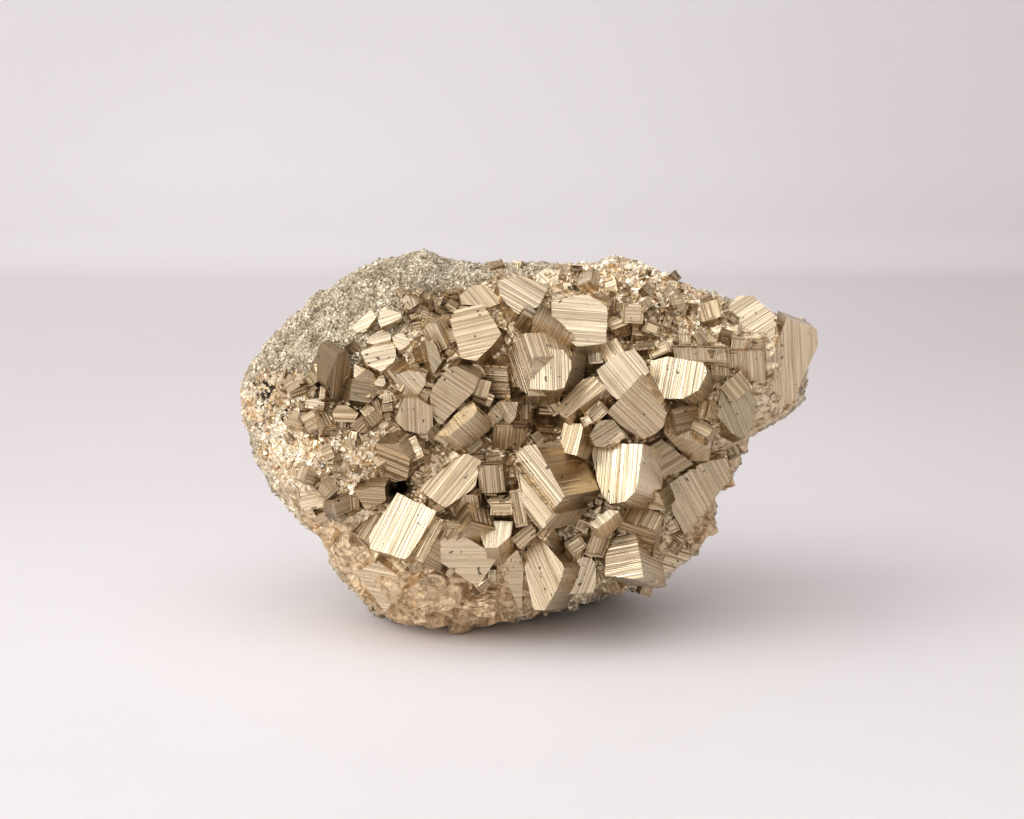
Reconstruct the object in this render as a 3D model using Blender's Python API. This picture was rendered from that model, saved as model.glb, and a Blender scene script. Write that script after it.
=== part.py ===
"""Pyrite specimen: striated cubes grown together on a rounded, granular mass, all one solid.

The specimen is drawn face-on, as a viewer sees its best side: across to the right, up, and out
towards the viewer, in millimetres from the middle of the view. It is then tipped back to stand
on its underside, which is worn flat where it rests.
"""

import math
from typing import NamedTuple

import bmesh
import bpy
from mathutils import Matrix, Vector, noise

MM = 0.001

# Driving dimensions, in millimetres
TIP_BACK = math.radians(12.0)
SIGHT_DISTANCE = 492.0
MASS_MIDDLE = Vector((0.0, -4.0))
FRONT_DEPTH = 23.0
BACK_DEPTH = 31.0
ROUNDNESS = 2.5
REST_LEVEL = -36.0
ORIGIN_ACROSS = 2.843
ORIGIN_BACK = -2.184

# Surface of the mass
SPHERE_DETAIL = 5
KEPT_FACES = 0.6
ROUGH_SIZE = 7.0
ROUGH_HEIGHT = 0.9

# Silhouette of the mass, anticlockwise from the tip of the right wing
OUTLINE = (
    (52.8, 12.0), (51.2, 14.6), (45.0, 16.6), (40.5, 18.8), (35.5, 19.6), (31.5, 20.6), (27.5, 22.6),
    (23.5, 24.6), (18.0, 26.4), (13.5, 24.9), (5.0, 25.2), (-6.0, 25.2), (-10.5, 25.6), (-15.0, 27.3),
    (-20.0, 26.5), (-25.0, 24.9), (-30.0, 22.4), (-35.0, 19.2), (-39.6, 14.4), (-43.6, 10.8),
    (-46.2, 6.3), (-46.8, 0.0), (-45.9, -4.0), (-44.2, -9.0), (-41.2, -14.0), (-37.6, -17.8),
    (-32.6, -23.3), (-29.2, -28.3), (-27.6, -31.3), (-24.6, -34.3), (-17.0, -37.4), (-10.5, -37.8),
    (-4.0, -37.1), (2.5, -36.4), (6.5, -34.7), (11.0, -33.6), (15.0, -31.9), (20.0, -31.2),
    (24.5, -29.9), (28.5, -27.2), (32.0, -24.2), (34.3, -20.0), (35.6, -17.0), (35.4, -14.4),
    (38.0, -11.8), (39.6, -8.0), (41.0, -4.6), (44.6, -2.7), (48.0, -1.0), (50.0, 2.0), (51.6, 7.0),
)
RIM_EASE = 0.993

# Swellings and hollows of the front: across, up, radius, height
SWELLS = (
    (-37.0, 8.0, 11.0, 3.0),
    (-20.0, 24.0, 10.0, 2.5),
    (24.0, 19.5, 7.0, 5.5),
    (-33.0, -8.0, 8.0, 3.5),
    (-13.0, -31.0, 13.0, 4.0),
    (20.0, -24.0, 10.0, 2.0),
    (3.0, 1.0, 11.0, -3.5),
    (11.0, 8.5, 3.5, -6.0),
    (-19.5, -12.8, 3.0, -5.0),
    (6.0, -2.0, 3.0, -4.0),
    (19.5, 13.0, 3.0, -3.5),
    (-12.5, 18.5, 4.0, -3.5),
    (33.0, 14.5, 3.0, -3.0),
    (-17.0, -31.3, 1.8, -3.0),
)


class Crystal(NamedTuple):
    """One cube of the cluster, by its main face as seen from the front, in millimetres."""

    across: float
    up: float
    stripe: tuple  # the edge that the striations follow
    side: tuple  # the other edge
    looks: str  # the way that the face is turned
    proud: float  # how far the face stands out of the mass
    ratio: float = 0.0  # real length of the striped edge over the other, or 0 for a fair guess
    deep: float = 0.0  # depth of the crystal, or 0 for one that is rooted in the mass
    trim: tuple = (0.0, 0.0, 0.0, 0.0)  # share cut off: start and end of stripes, at each side
    outline: tuple = ()  # corners of the face as seen, for one that is far from a rectangle


SQUARENESS = 0.75
FAIR_LEAN = 1.05
LOOKS = {"up": Vector((0, 1)), "down": Vector((0, -1)), "left": Vector((-1, 0)), "right": Vector((1, 0))}

CRYSTALS = (
    # Along the edge of the granular shoulder, top left
    Crystal(-25.4, 15.6, (3.4, 1.5), (-0.9, 2.4), "up", 1.5, outline=(
        (-28.0, 13.7), (-27.4, 15.2), (-24.4, 17.3), (-23.3, 15.8), (-25.4, 13.6), (-26.8, 13.2),
    )),
    Crystal(-21.2, 16.0, (3.8, 1.2), (-0.7, 2.8), "up", 2.0, outline=(
        (-23.6, 16.4), (-22.4, 17.5), (-19.6, 17.6), (-19.0, 15.8), (-22.7, 14.3),
    )),
    Crystal(-17.6, 18.6, (-0.9, 2.8), (2.3, 0.8), "left", 2.0, outline=(
        (-18.4, 20.8), (-17.0, 20.2), (-16.2, 18.4), (-17.0, 17.2), (-18.6, 17.4),
    )),
    Crystal(-13.5, 12.8, (2.2, -4.4), (2.1, 0.9), "left", 2.2, 1.6, outline=(
        (-15.7, 13.4), (-14.9, 14.8), (-13.2, 14.9), (-11.1, 10.8), (-12.0, 10.0),
    )),
    Crystal(-16.4, 14.0, (2.2, 0.4), (-0.4, 2.2), "down", 0.0),
    Crystal(-14.7, 15.9, (2.4, -1.2), (0.9, 1.6), "up", 0.0),
    Crystal(-18.8, 12.1, (2.8, -1.0), (0.9, 2.0), "up", 2.0, outline=(
        (-20.8, 12.7), (-19.0, 13.2), (-16.8, 11.9), (-19.4, 10.2), (-20.4, 11.0),
    )),
    Crystal(-23.0, 9.6, (5.6, 1.2), (-1.2, 4.6), "up", 2.8, outline=(
        (-26.3, 10.3), (-25.7, 8.2), (-22.7, 6.6), (-20.2, 8.2), (-19.8, 10.4), (-21.2, 12.2),
    )),
    Crystal(-22.9, 12.5, (4.4, 1.2), (-0.3, 1.2), "up", 2.2, outline=(
        (-25.7, 10.8), (-24.4, 13.0), (-22.3, 13.7), (-20.8, 12.9), (-21.0, 12.0),
    )),
    Crystal(-31.2, 9.3, (1.6, 0.6), (-0.5, 1.4), "up", 1.0),
    # The small cubes at the far left
    Crystal(-40.2, 5.6, (0.5, 2.4), (1.7, 0.4), "left", 0.8),
    Crystal(-37.3, 5.3, (2.6, 0.4), (-0.3, 1.7), "up", 1.0),
    Crystal(-34.5, 5.4, (1.2, -1.6), (1.8, 1.2), "right", 1.0),
    Crystal(-34.0, 1.1, (3.0, -0.4), (0.5, 1.9), "up", 1.5),
    Crystal(-32.8, 3.1, (0.3, 2.6), (1.0, 0.1), "left", 1.0),
    Crystal(-36.3, 2.6, (3.4, 1.2), (-1.0, 2.2), "down", 0.5),
    Crystal(-33.1, 7.4, (1.8, 0.9), (-0.6, 1.5), "up", 0.6),
    Crystal(-29.7, 5.8, (1.0, 8.6), (3.8, 0.3), "right", 2.0, 2.1, outline=(
        (-29.7, 10.3), (-28.4, 9.9), (-27.3, 7.6), (-27.6, 3.8), (-29.3, 1.2), (-31.5, 1.9), (-32.2, 4.2),
        (-31.2, 8.0),
    )),
    Crystal(-25.5, 4.2, (4.5, -0.8), (0.7, 4.8), "right", 2.4, outline=(
        (-27.6, 5.4), (-24.9, 7.0), (-23.5, 5.9), (-22.9, 3.0), (-24.8, 1.1), (-28.2, 1.7),
    )),
    Crystal(-26.7, 6.9, (1.6, -1.2), (1.4, 1.5), "up", 2.4, outline=(
        (-27.4, 7.9), (-24.8, 6.8), (-27.3, 5.6),
    )),
    Crystal(-27.4, 10.2, (1.9, -2.0), (1.4, 1.2), "down", 1.2),
    Crystal(-22.8, 5.2, (2.2, -0.4), (0.4, 2.2), "up", 1.8, outline=(
        (-23.9, 6.0), (-22.3, 6.3), (-21.4, 4.8), (-22.3, 3.9), (-23.7, 4.2),
    )),
    Crystal(-21.8, 2.2, (1.9, 0.4), (-0.4, 1.9), "up", 0.5),
    Crystal(-29.3, -1.0, (3.3, -0.1), (0.1, 3.1), "left", 2.0, outline=(
        (-31.2, -0.6), (-30.1, 0.8), (-27.2, 0.6), (-26.5, -0.6), (-27.3, -2.2), (-30.7, -2.1),
    )),
    Crystal(-31.4, -3.8, (3.0, 0.2), (0.9, 1.9), "down", 1.0),
    Crystal(-26.2, -2.8, (1.9, 2.0), (1.9, -1.9), "right", 1.5, outline=(
        (-28.1, -2.8), (-26.2, -1.1), (-24.3, -2.3), (-24.5, -3.8), (-25.7, -4.8),
    )),
    Crystal(-25.1, -0.1, (1.4, 1.4), (1.1, -1.2), "up", 1.0),
    Crystal(-23.4, -0.1, (0.8, -3.2), (1.4, 0.3), "left", 1.0),
    Crystal(-21.4, -1.6, (1.8, -1.0), (1.0, 1.8), "right", 0.0),
    Crystal(-20.6, -3.4, (1.6, 1.2), (1.2, -1.4), "left", 0.5),
    # The left of the field
    Crystal(-17.1, 4.9, (3.5, -3.9), (3.8, 3.2), "left", 3.2, outline=(
        (-20.4, 5.8), (-18.4, 7.0), (-14.9, 6.2), (-14.6, 5.0), (-16.4, 2.1), (-18.8, 2.6),
    )),
    Crystal(-20.6, 5.4, (2.6, -3.4), (1.1, 0.9), "left", 2.4),
    Crystal(-14.1, 8.8, (3.2, -3.9), (2.8, 2.2), "right", 2.6, outline=(
        (-16.9, 11.4), (-15.3, 12.0), (-13.5, 11.5), (-12.2, 9.6), (-12.0, 6.9), (-13.6, 6.1),
    )),
    Crystal(-17.0, -1.2, (0.2, -6.2), (6.0, 0.1), "down", 3.0, outline=(
        (-19.8, 1.9), (-16.3, 1.9), (-13.8, 0.3), (-13.7, -2.8), (-14.8, -4.3), (-18.3, -3.9),
        (-20.1, -2.0),
    )),
    Crystal(-10.3, 3.0, (5.8, -3.9), (3.9, 5.9), "down", 3.4, 0.93, outline=(
        (-14.4, 3.0), (-10.9, 7.5), (-9.2, 7.5), (-5.8, 5.4), (-6.5, 3.2), (-12.2, -2.6), (-13.8, -1.4),
    )),
    Crystal(-9.2, -1.7, (1.5, -1.8), (5.3, 5.2), "left", 3.8, 0.49, 4.6, outline=(
        (-12.6, -4.4), (-12.2, -3.4), (-7.9, 1.3), (-6.9, 1.5), (-6.0, 0.2), (-6.4, -0.9), (-11.4, -4.9),
    )),
    Crystal(-17.3, -6.9, (2.6, 1.4), (1.6, -3.4), "up", 3.4),
    Crystal(-13.6, -4.4, (2.0, -2.0), (1.4, 1.6), "right", 0.5),
    Crystal(-20.8, -8.8, (5.4, -2.1), (0.3, -4.7), "down", 3.0, outline=(
        (-23.8, -5.2), (-20.0, -6.2), (-17.6, -8.8), (-18.2, -12.2), (-22.6, -13.0),
    )),
    Crystal(-24.8, -15.2, (5.6, -0.4), (0.6, -3.6), "down", 2.4, outline=(
        (-27.8, -13.5), (-22.0, -13.3), (-21.8, -15.8), (-25.3, -17.4),
    )),
    Crystal(-28.8, -16.7, (4.2, 1.6), (1.6, -4.8), "right", 2.8, outline=(
        (-30.8, -15.4), (-27.9, -13.8), (-25.3, -17.0), (-29.4, -19.3), (-31.0, -17.6),
    )),
    Crystal(-34.8, -15.0, (4.2, 0.8), (1.0, -4.5), "left", 1.6),
    Crystal(-32.0, -18.7, (3.0, 1.4), (0.9, -2.0), "down", 1.2),
    Crystal(-19.3, -20.2, (-4.7, -9.6), (7.1, -3.3), "left", 4.2, 1.25, outline=(
        (-20.4, -14.1), (-13.1, -17.6), (-18.2, -26.0), (-25.1, -24.0), (-24.6, -22.0),
    )),
    Crystal(-24.4, -20.0, (-2.8, -4.8), (2.0, -0.6), "left", 2.4),
    Crystal(-26.0, -20.2, (-2.2, -2.6), (1.3, -0.6), "left", 2.0),
    Crystal(-14.9, -22.2, (-3.9, -7.2), (2.8, -1.4), "left", 3.2),
    Crystal(-10.6, -12.6, (6.3, 7.6), (5.0, -4.1), "left", 3.0, 1.5, outline=(
        (-15.7, -13.2), (-8.0, -7.5), (-5.3, -8.8), (-6.4, -13.2), (-10.6, -17.7), (-15.4, -14.4),
    )),
    # The middle of the top edge
    Crystal(-6.0, 19.6, (3.8, -4.4), (4.0, 3.4), "up", 2.6, outline=(
        (-9.2, 19.6), (-6.6, 21.8), (-4.6, 21.7), (-1.5, 18.6), (-3.4, 17.6), (-8.6, 18.2),
    )),
    Crystal(-6.3, 13.6, (7.5, 1.7), (1.5, -7.5), "up", 4.2, outline=(
        (-10.7, 15.7), (-9.6, 17.3), (-5.0, 18.3), (-1.6, 12.8), (-6.2, 8.5), (-8.9, 8.8),
    )),
    Crystal(1.4, 19.8, (7.2, -4.2), (2.8, 4.4), "up", 3.8, outline=(
        (-2.6, 22.3), (1.4, 23.1), (6.4, 21.3), (4.6, 17.8), (1.0, 16.5), (-1.8, 19.0),
    )),
    Crystal(-2.4, 23.9, (2.6, 0.8), (0.4, -1.6), "down", -0.3),
    Crystal(1.0, 24.6, (0.2, 2.0), (1.2, 0.2), "up", 0.0),
    Crystal(6.4, 23.1, (2.0, -1.9), (3.2, 1.8), "up", 1.5, outline=(
        (4.0, 23.5), (5.0, 24.3), (8.2, 24.0), (8.0, 22.4), (5.6, 21.6), (4.3, 22.2),
    )),
    Crystal(11.6, 15.6, (9.2, -0.7), (-0.5, -8.4), "up", 4.0, outline=(
        (6.7, 18.6), (7.5, 19.9), (13.0, 19.8), (16.1, 18.6), (16.6, 17.0), (16.2, 11.3), (11.2, 10.9),
        (6.9, 14.6),
    )),
    Crystal(6.6, 12.6, (-2.3, -4.0), (7.0, -3.6), "down", 4.4, 0.0, 4.5, outline=(
        (3.0, 12.6), (3.9, 16.0), (10.9, 12.2), (9.6, 10.2), (5.0, 11.0),
    )),
    Crystal(4.6, 15.9, (5.0, -2.8), (0.5, 1.5), "up", 3.6, 0.0, 3.6),
    Crystal(13.2, 20.8, (1.5, -1.9), (2.3, 0.9), "down", 1.2),
    Crystal(16.9, 21.4, (2.2, 0.8), (-0.6, 2.4), "up", 1.0),
    Crystal(20.9, 16.6, (3.6, -0.2), (0.3, 3.3), "up", 1.0),
    Crystal(17.4, 17.2, (-0.3, -3.6), (1.3, 0.3), "right", 1.5),
    Crystal(18.4, 13.4, (2.6, 2.0), (1.4, -1.5), "right", 0.5),
    # The centre, round the dark pocket
    Crystal(1.0, 6.4, (2.7, -8.2), (3.0, 3.2), "left", 4.6, 1.5, outline=(
        (-1.9, 8.2), (0.2, 11.3), (2.3, 13.2), (3.6, 9.2), (3.3, 2.7), (1.6, 0.9), (-1.7, 6.2),
    )),
    Crystal(6.8, 6.8, (0.2, -7.8), (6.4, -0.1), "up", 6.6, 1.28, outline=(
        (3.5, 10.6), (9.4, 10.3), (10.2, 8.2), (10.1, 4.4), (8.2, 3.1), (3.0, 3.6),
    )),
    Crystal(-3.2, 4.8, (5.2, -0.3), (0.6, -5.6), "down", 1.2),
    Crystal(-4.9, 2.0, (3.0, -1.2), (0.9, 2.0), "up", 1.6),
    Crystal(-1.1, -0.8, (1.9, -3.4), (2.4, 1.3), "left", 2.6, outline=(
        (-3.4, 0.4), (-2.2, 1.4), (0.9, 1.2), (0.6, -1.8), (-1.0, -2.8),
    )),
    Crystal(2.4, -0.4, (0.1, -3.4), (2.0, 0.2), "right", 2.2),
    Crystal(5.9, 0.3, (2.4, -0.1), (0.2, 2.2), "up", 1.0),
    Crystal(6.0, -3.4, (3.6, -0.3), (0.4, -1.8), "up", 1.0),
    Crystal(-0.4, -5.0, (-0.4, -3.6), (5.8, -0.3), "down", 1.6),
    Crystal(-7.0, -5.6, (2.4, 1.8), (1.6, -2.2), "right", 0.8),
    Crystal(-3.2, -8.4, (2.6, 0.5), (0.3, -1.2), "up", 1.8),
    Crystal(13.4, 9.0, (1.6, -3.2), (1.9, 0.8), "right", 0.0),
    Crystal(10.2, -4.7, (-1.2, -4.6), (3.5, -0.7), "left", 3.8, outline=(
        (7.9, -6.4), (9.0, -2.3), (12.4, -2.4), (11.3, -7.9), (9.2, -7.8),
    )),
    Crystal(12.2, 2.1, (6.3, 5.8), (3.2, -2.8), "up", 4.2, 1.6, outline=(
        (7.4, 0.2), (12.3, 5.2), (14.3, 5.8), (16.3, 3.8), (12.4, 0.6), (9.1, -1.7),
    )),
    Crystal(14.6, -0.6, (2.6, 2.4), (1.8, -1.8), "right", 3.4),
    Crystal(12.9, -1.9, (0.9, -1.4), (1.3, 0.6), "up", 4.8),
    Crystal(15.2, -3.9, (3.3, 2.1), (1.6, -3.0), "right", 4.0, outline=(
        (13.4, -4.2), (15.0, -2.0), (17.4, -1.6), (20.8, -5.6), (15.2, -7.0), (13.9, -6.0),
    )),
    Crystal(17.9, -4.9, (2.6, 1.6), (1.0, -1.4), "up", 3.6),
    # Right of the centre
    Crystal(19.6, 6.3, (4.4, -5.2), (4.6, 3.8), "up", 3.8, outline=(
        (14.6, 6.7), (18.4, 9.9), (21.2, 10.4), (24.1, 6.8), (18.2, 1.5), (16.3, 3.5),
    )),
    Crystal(21.8, -0.2, (5.7, -5.3), (5.2, 5.5), "down", 5.0, outline=(
        (16.3, -0.5), (22.0, 5.5), (27.0, 0.3), (26.0, -3.5), (22.0, -5.6),
    )),
    Crystal(28.9, 5.3, (-1.2, -6.6), (7.4, -0.9), "left", 4.2, outline=(
        (24.0, 8.4), (26.8, 9.2), (33.3, 8.0), (33.6, 6.4), (32.4, 3.5), (30.7, 1.9), (25.0, 1.9),
        (23.8, 5.4),
    )),
    Crystal(32.8, 9.7, (0.3, -2.8), (9.4, -0.3), "up", 2.4),
    Crystal(35.9, 8.2, (0.4, -4.4), (3.0, -0.2), "up", 2.6),
    Crystal(40.7, 7.3, (0.4, -5.6), (6.0, 0.2), "down", 2.5, 0.0, 5.0),
    Crystal(40.8, 15.9, (6.6, 4.3), (4.0, -4.8), "up", 2.2, 1.24, outline=(
        (35.4, 16.3), (39.2, 19.7), (41.6, 19.9), (46.0, 16.0), (45.2, 12.4), (38.8, 12.3), (36.6, 14.2),
    )),
    Crystal(38.9, -0.9, (2.8, -6.6), (4.4, 1.9), "right", 2.6, 1.4, outline=(
        (36.2, 3.6), (39.4, 5.4), (40.9, 4.8), (42.3, 0.6), (41.0, -4.8), (38.9, -5.4), (35.4, -0.8),
    )),
    Crystal(23.2, 11.2, (3.6, 0.5), (-0.3, 1.4), "up", 1.5),
    Crystal(25.4, 10.3, (3.4, 1.4), (-0.7, 1.8), "up", 1.5),
    Crystal(29.9, 12.3, (0.1, -2.2), (2.1, 0.1), "up", 1.0),
    Crystal(34.8, 18.0, (2.4, 2.2), (1.3, -1.3), "up", 0.6),
    Crystal(36.7, 12.1, (2.1, -0.6), (0.5, 1.8), "down", 1.0),
    Crystal(27.0, -2.3, (0.8, -4.2), (1.9, 0.3), "left", 4.0),
    Crystal(32.0, -2.8, (5.4, -2.9), (1.5, 2.0), "right", 3.6),
    Crystal(30.4, -6.1, (3.9, 2.3), (6.6, -3.6), "left", 5.2, 0.62, outline=(
        (25.5, -6.6), (26.3, -3.9), (29.5, -3.5), (35.4, -7.2), (34.0, -8.9), (28.6, -8.7),
    )),
    Crystal(26.3, -9.1, (5.2, 3.1), (2.3, -5.6), "right", 3.6, outline=(
        (23.2, -6.8), (26.0, -5.2), (31.4, -9.4), (25.2, -12.9), (24.1, -11.8),
    )),
    Crystal(36.0, -8.6, (2.5, 0.4), (0.4, -2.5), "up", 1.5),
    Crystal(38.2, -6.6, (1.4, -2.6), (2.2, 1.0), "right", 1.0),
    # The lower right
    Crystal(18.5, -11.0, (-0.8, -10.0), (7.2, 0.1), "left", 5.2, 1.22, outline=(
        (13.7, -6.6), (17.2, -5.9), (22.6, -6.0), (22.0, -11.6), (20.9, -15.9), (16.2, -16.4),
        (14.0, -10.4),
    )),
    Crystal(32.2, -14.4, (4.3, -7.8), (9.6, 5.8), "right", 4.8, 0.82, outline=(
        (25.7, -13.8), (33.2, -9.0), (37.2, -8.4), (38.0, -11.8), (36.0, -14.4), (29.9, -21.6),
    )),
    Crystal(23.4, -15.8, (5.4, -2.2), (1.5, 5.0), "down", 3.4, outline=(
        (22.3, -12.0), (25.0, -13.5), (27.1, -18.9), (20.6, -16.5), (21.0, -14.6),
    )),
    Crystal(15.7, -18.7, (1.4, -2.0), (4.4, 2.8), "left", 5.6, 0.0, 4.0, outline=(
        (13.2, -19.7), (16.8, -17.1), (18.5, -17.6), (14.4, -20.9),
    )),
    Crystal(15.0, -23.0, (-1.6, -4.6), (3.2, -0.6), "down", 2.6),
    Crystal(22.4, -18.6, (1.6, 3.0), (6.4, -2.2), "up", 3.8),
    Crystal(25.8, -19.6, (1.9, 3.3), (1.8, -1.6), "right", 3.4),
    Crystal(28.6, -21.6, (2.4, -1.4), (0.9, 1.2), "up", 2.0),
    Crystal(28.6, -25.0, (5.2, -1.6), (1.6, 4.4), "down", 2.4, outline=(
        (27.0, -22.7), (29.8, -23.4), (31.2, -25.3), (29.4, -27.2), (26.0, -27.9), (25.8, -26.4),
    )),
    Crystal(19.2, -25.4, (6.2, 1.2), (0.4, -8.4), "left", 5.2, 0.82, outline=(
        (16.3, -22.8), (20.8, -20.4), (21.6, -22.4), (22.7, -29.0), (15.9, -30.0),
    )),
    Crystal(11.1, -23.4, (2.6, 1.7), (1.6, -2.1), "right", 3.2),
    Crystal(11.6, -28.9, (-2.4, -6.4), (5.2, -1.8), "down", 4.2, 1.25, outline=(
        (9.4, -25.4), (13.3, -25.4), (15.4, -27.4), (14.0, -31.7), (8.9, -32.0), (8.1, -29.0),
    )),
    Crystal(4.8, -28.9, (4.2, -9.8), (4.8, 2.5), "left", 5.6, 1.8, outline=(
        (1.6, -26.4), (3.9, -22.0), (6.8, -23.0), (9.0, -27.4), (8.1, -30.6), (5.4, -35.3), (3.8, -34.6),
    )),
    # The great cube and what leans on it
    Crystal(5.3, -12.0, (7.1, -8.9), (-2.9, -3.5), "left", 8.0, 2.31, 11.0, outline=(
        (0.2, -9.5), (2.0, -6.3), (4.0, -6.0), (9.5, -14.5), (6.0, -18.8),
    )),
    Crystal(2.7, -15.1, (7.1, -8.9), (-2.4, -2.8), "left", 7.2, 2.83, 10.0, (0.0, 0.57, 0.0, 0.0)),
    Crystal(1.1, -17.0, (1.2, -6.2), (2.0, 0.4), "left", 5.6),
    Crystal(2.3, -21.9, (3.2, 2.6), (1.5, -1.9), "down", 4.5),
    Crystal(5.6, -21.2, (1.4, 2.0), (1.6, -1.0), "left", 5.2),
    Crystal(-3.6, -12.0, (0.5, -4.7), (4.4, 0.2), "down", 3.0),
    Crystal(-1.8, -16.5, (3.8, 0.1), (0.2, 3.4), "up", 2.6),
    Crystal(-8.0, -16.9, (0.7, -4.4), (4.6, -0.2), "down", 2.4),
    Crystal(-5.4, -18.2, (0.8, -3.4), (4.0, -1.0), "up", 3.4),
    Crystal(-7.8, -14.2, (4.6, 0.3), (-0.2, 1.2), "up", 2.4),
    Crystal(-3.1, -21.5, (-0.6, -4.6), (5.7, -0.3), "up", 4.3, outline=(
        (-5.9, -19.7), (-4.4, -19.1), (0.1, -19.4), (-0.1, -21.4), (-1.6, -23.9), (-5.9, -24.0),
    )),
    Crystal(-9.0, -20.1, (5.4, -0.5), (0.4, -1.7), "up", 3.4, 2.7),
)

# Broken blocks of the massive foot and smooth plates of the rim, in the same terms
BLOCKS = (
    Crystal(-8.6, -25.4, (9.0, 0.0), (0.0, 9.0), "down", 1.9, 0.86, 5.0, outline=(
        (-13.6, -20.8), (-11.0, -20.5), (-5.4, -21.8), (-2.2, -23.8), (-2.8, -27.6), (-5.6, -30.2),
        (-10.4, -30.0), (-14.2, -27.6),
    )),
    Crystal(0.4, -30.0, (8.0, 0.0), (0.0, 8.0), "down", 1.6, 0.75, 5.0, outline=(
        (-1.8, -25.0), (1.0, -24.4), (2.6, -28.5), (4.2, -34.0), (1.6, -35.4), (-1.4, -34.0), (-2.4, -29.5),
    )),
    Crystal(-22.6, -30.8, (8.0, -1.6), (-1.6, 8.0), "down", 1.2, 1.0, 5.0, outline=(
        (-27.0, -28.2), (-23.4, -26.2), (-18.6, -28.2), (-18.2, -30.8), (-18.6, -34.0), (-22.0, -35.0),
        (-25.8, -32.4),
    )),
    Crystal(48.0, 9.4, (0.6, -12.0), (8.0, 0.6), "right", 3.2, 1.5, outline=(
        (45.8, 16.0), (50.2, 15.7), (52.8, 13.8), (52.9, 9.8), (50.5, 3.0), (48.5, 0.7), (43.6, 4.4),
        (44.2, 10.4),
    )),
    Crystal(-7.2, -32.4, (8.4, -1.4), (1.0, 3.4), "up", -0.6, 2.3, 3.0),
    Crystal(-1.0, -25.6, (3.6, 1.0), (-0.5, 4.4), "down", 1.2, 0.0, 5.0),
    Crystal(-23.0, -32.4, (5.0, -2.0), (1.4, 2.4), "down", -0.4, 1.9, 3.0),
    Crystal(-16.6, -33.4, (5.6, -1.2), (0.7, 2.2), "down", -0.8, 2.4, 2.5),
    Crystal(-29.4, -24.4, (3.0, -3.6), (2.4, 2.0), "left", 0.8, 0.0, 4.0),
    Crystal(33.0, -19.4, (2.4, -5.0), (3.0, 2.0), "right", 0.9, 0.0, 5.0),
    Crystal(36.6, -11.4, (1.6, -4.2), (3.0, 1.2), "right", 0.8, 0.0, 5.0),
    Crystal(47.2, 1.0, (3.4, 1.6), (-0.8, 2.4), "down", 0.8, 0.0, 4.0),
    Crystal(-43.6, 0.4, (1.0, 4.6), (2.6, -0.6), "left", 0.6, 0.0, 4.0),
    Crystal(-38.6, 0.8, (5.4, -4.0), (1.4, 1.8), "down", 0.7, 0.0, 4.0),
)

# Small cubes scattered over the granular parts: across, up, half width, half height, how many
GRAIN_FIELDS = (
    (-31.0, -8.0, 6.0, 4.0, 8),
    (25.0, 20.5, 6.0, 3.5, 8),
    (11.0, 22.5, 3.0, 2.0, 4),
    (33.0, 17.0, 4.0, 2.5, 4),
    (20.0, -30.0, 4.0, 1.2, 3),
    (0.0, 16.5, 5.0, 1.5, 3),
    (22.0, -10.0, 4.0, 8.0, 4),
    (36.0, 4.0, 4.0, 2.0, 4),
)
GRAIN_EDGE = (1.3, 2.2)
GRAIN_SEED = 7

# Feet of the hidden underside: across, towards the viewer, radius, drop
FEET = (
    (10.0, -20.0, 15.0, 7.0),
    (-12.0, -8.0, 12.0, 2.0),
)


def outline_radius(angle):
    """Distance from the middle of the mass to its silhouette in one direction."""
    way = Vector((math.cos(angle), math.sin(angle)))
    best = 0.0
    for start, end in zip(OUTLINE, OUTLINE[1:] + OUTLINE[:1]):
        start = Vector(start) - MASS_MIDDLE
        edge = Vector(end) - MASS_MIDDLE - start
        turn = way.x * edge.y - way.y * edge.x
        if abs(turn) < 1e-9:
            continue
        reach = (start.x * edge.y - start.y * edge.x) / turn
        along = (start.x * way.y - start.y * way.x) / turn
        if reach > 0.0 and -1e-6 <= along <= 1.0 + 1e-6:
            best = max(best, reach)
    return best * RIM_EASE


def swell(across, up):
    """Added height of the front at one place."""
    total = 0.0
    for x, y, radius, height in SWELLS:
        apart = ((across - x) ** 2 + (up - y) ** 2) / radius**2
        total += height * math.exp(-2.0 * apart)
    return total


def front_height(across, up):
    """How far the front of the mass stands towards the viewer at one place."""
    place = Vector((across, up)) - MASS_MIDDLE
    share = min(place.length / outline_radius(math.atan2(place.y, place.x)), 0.995)
    return FRONT_DEPTH * (1.0 - share**ROUNDNESS) ** (1.0 / ROUNDNESS) + swell(across, up)


def shape_mass(mesh):
    """Turn a unit sphere into the rounded mass, drawn face-on."""
    down = Vector((0.0, -math.cos(TIP_BACK), -math.sin(TIP_BACK)))
    for vertex in mesh.vertices:
        way = vertex.co.normalized()
        flat = math.hypot(way.x, way.y)
        depth = FRONT_DEPTH if way.z > 0.0 else BACK_DEPTH
        share = flat ** (2.0 / ROUNDNESS)
        height = math.copysign(abs(way.z) ** (2.0 / ROUNDNESS), way.z)
        reach = share * outline_radius(math.atan2(way.y, way.x))
        turn = Vector((way.x, way.y)) / max(flat, 1e-9)
        place = MASS_MIDDLE + turn * reach
        out = Vector((turn.x * flat, turn.y * flat, way.z))
        spot = Vector((place.x, place.y, height * depth))
        spot.z += swell(place.x, place.y) * max(way.z, 0.0) ** 0.5
        if way.y < 0.0:
            for x, z, radius, drop in FEET:
                apart = ((spot.x - x) ** 2 + (spot.z - z) ** 2) / radius**2
                spot += down * drop * math.exp(-2.0 * apart) * min(1.0, -2.0 * way.y)
        rough = noise.fractal(spot / ROUGH_SIZE, 0.8, 2.0, 3)
        vertex.co = spot + out * (rough - 0.3) * ROUGH_HEIGHT
    return mesh


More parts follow.
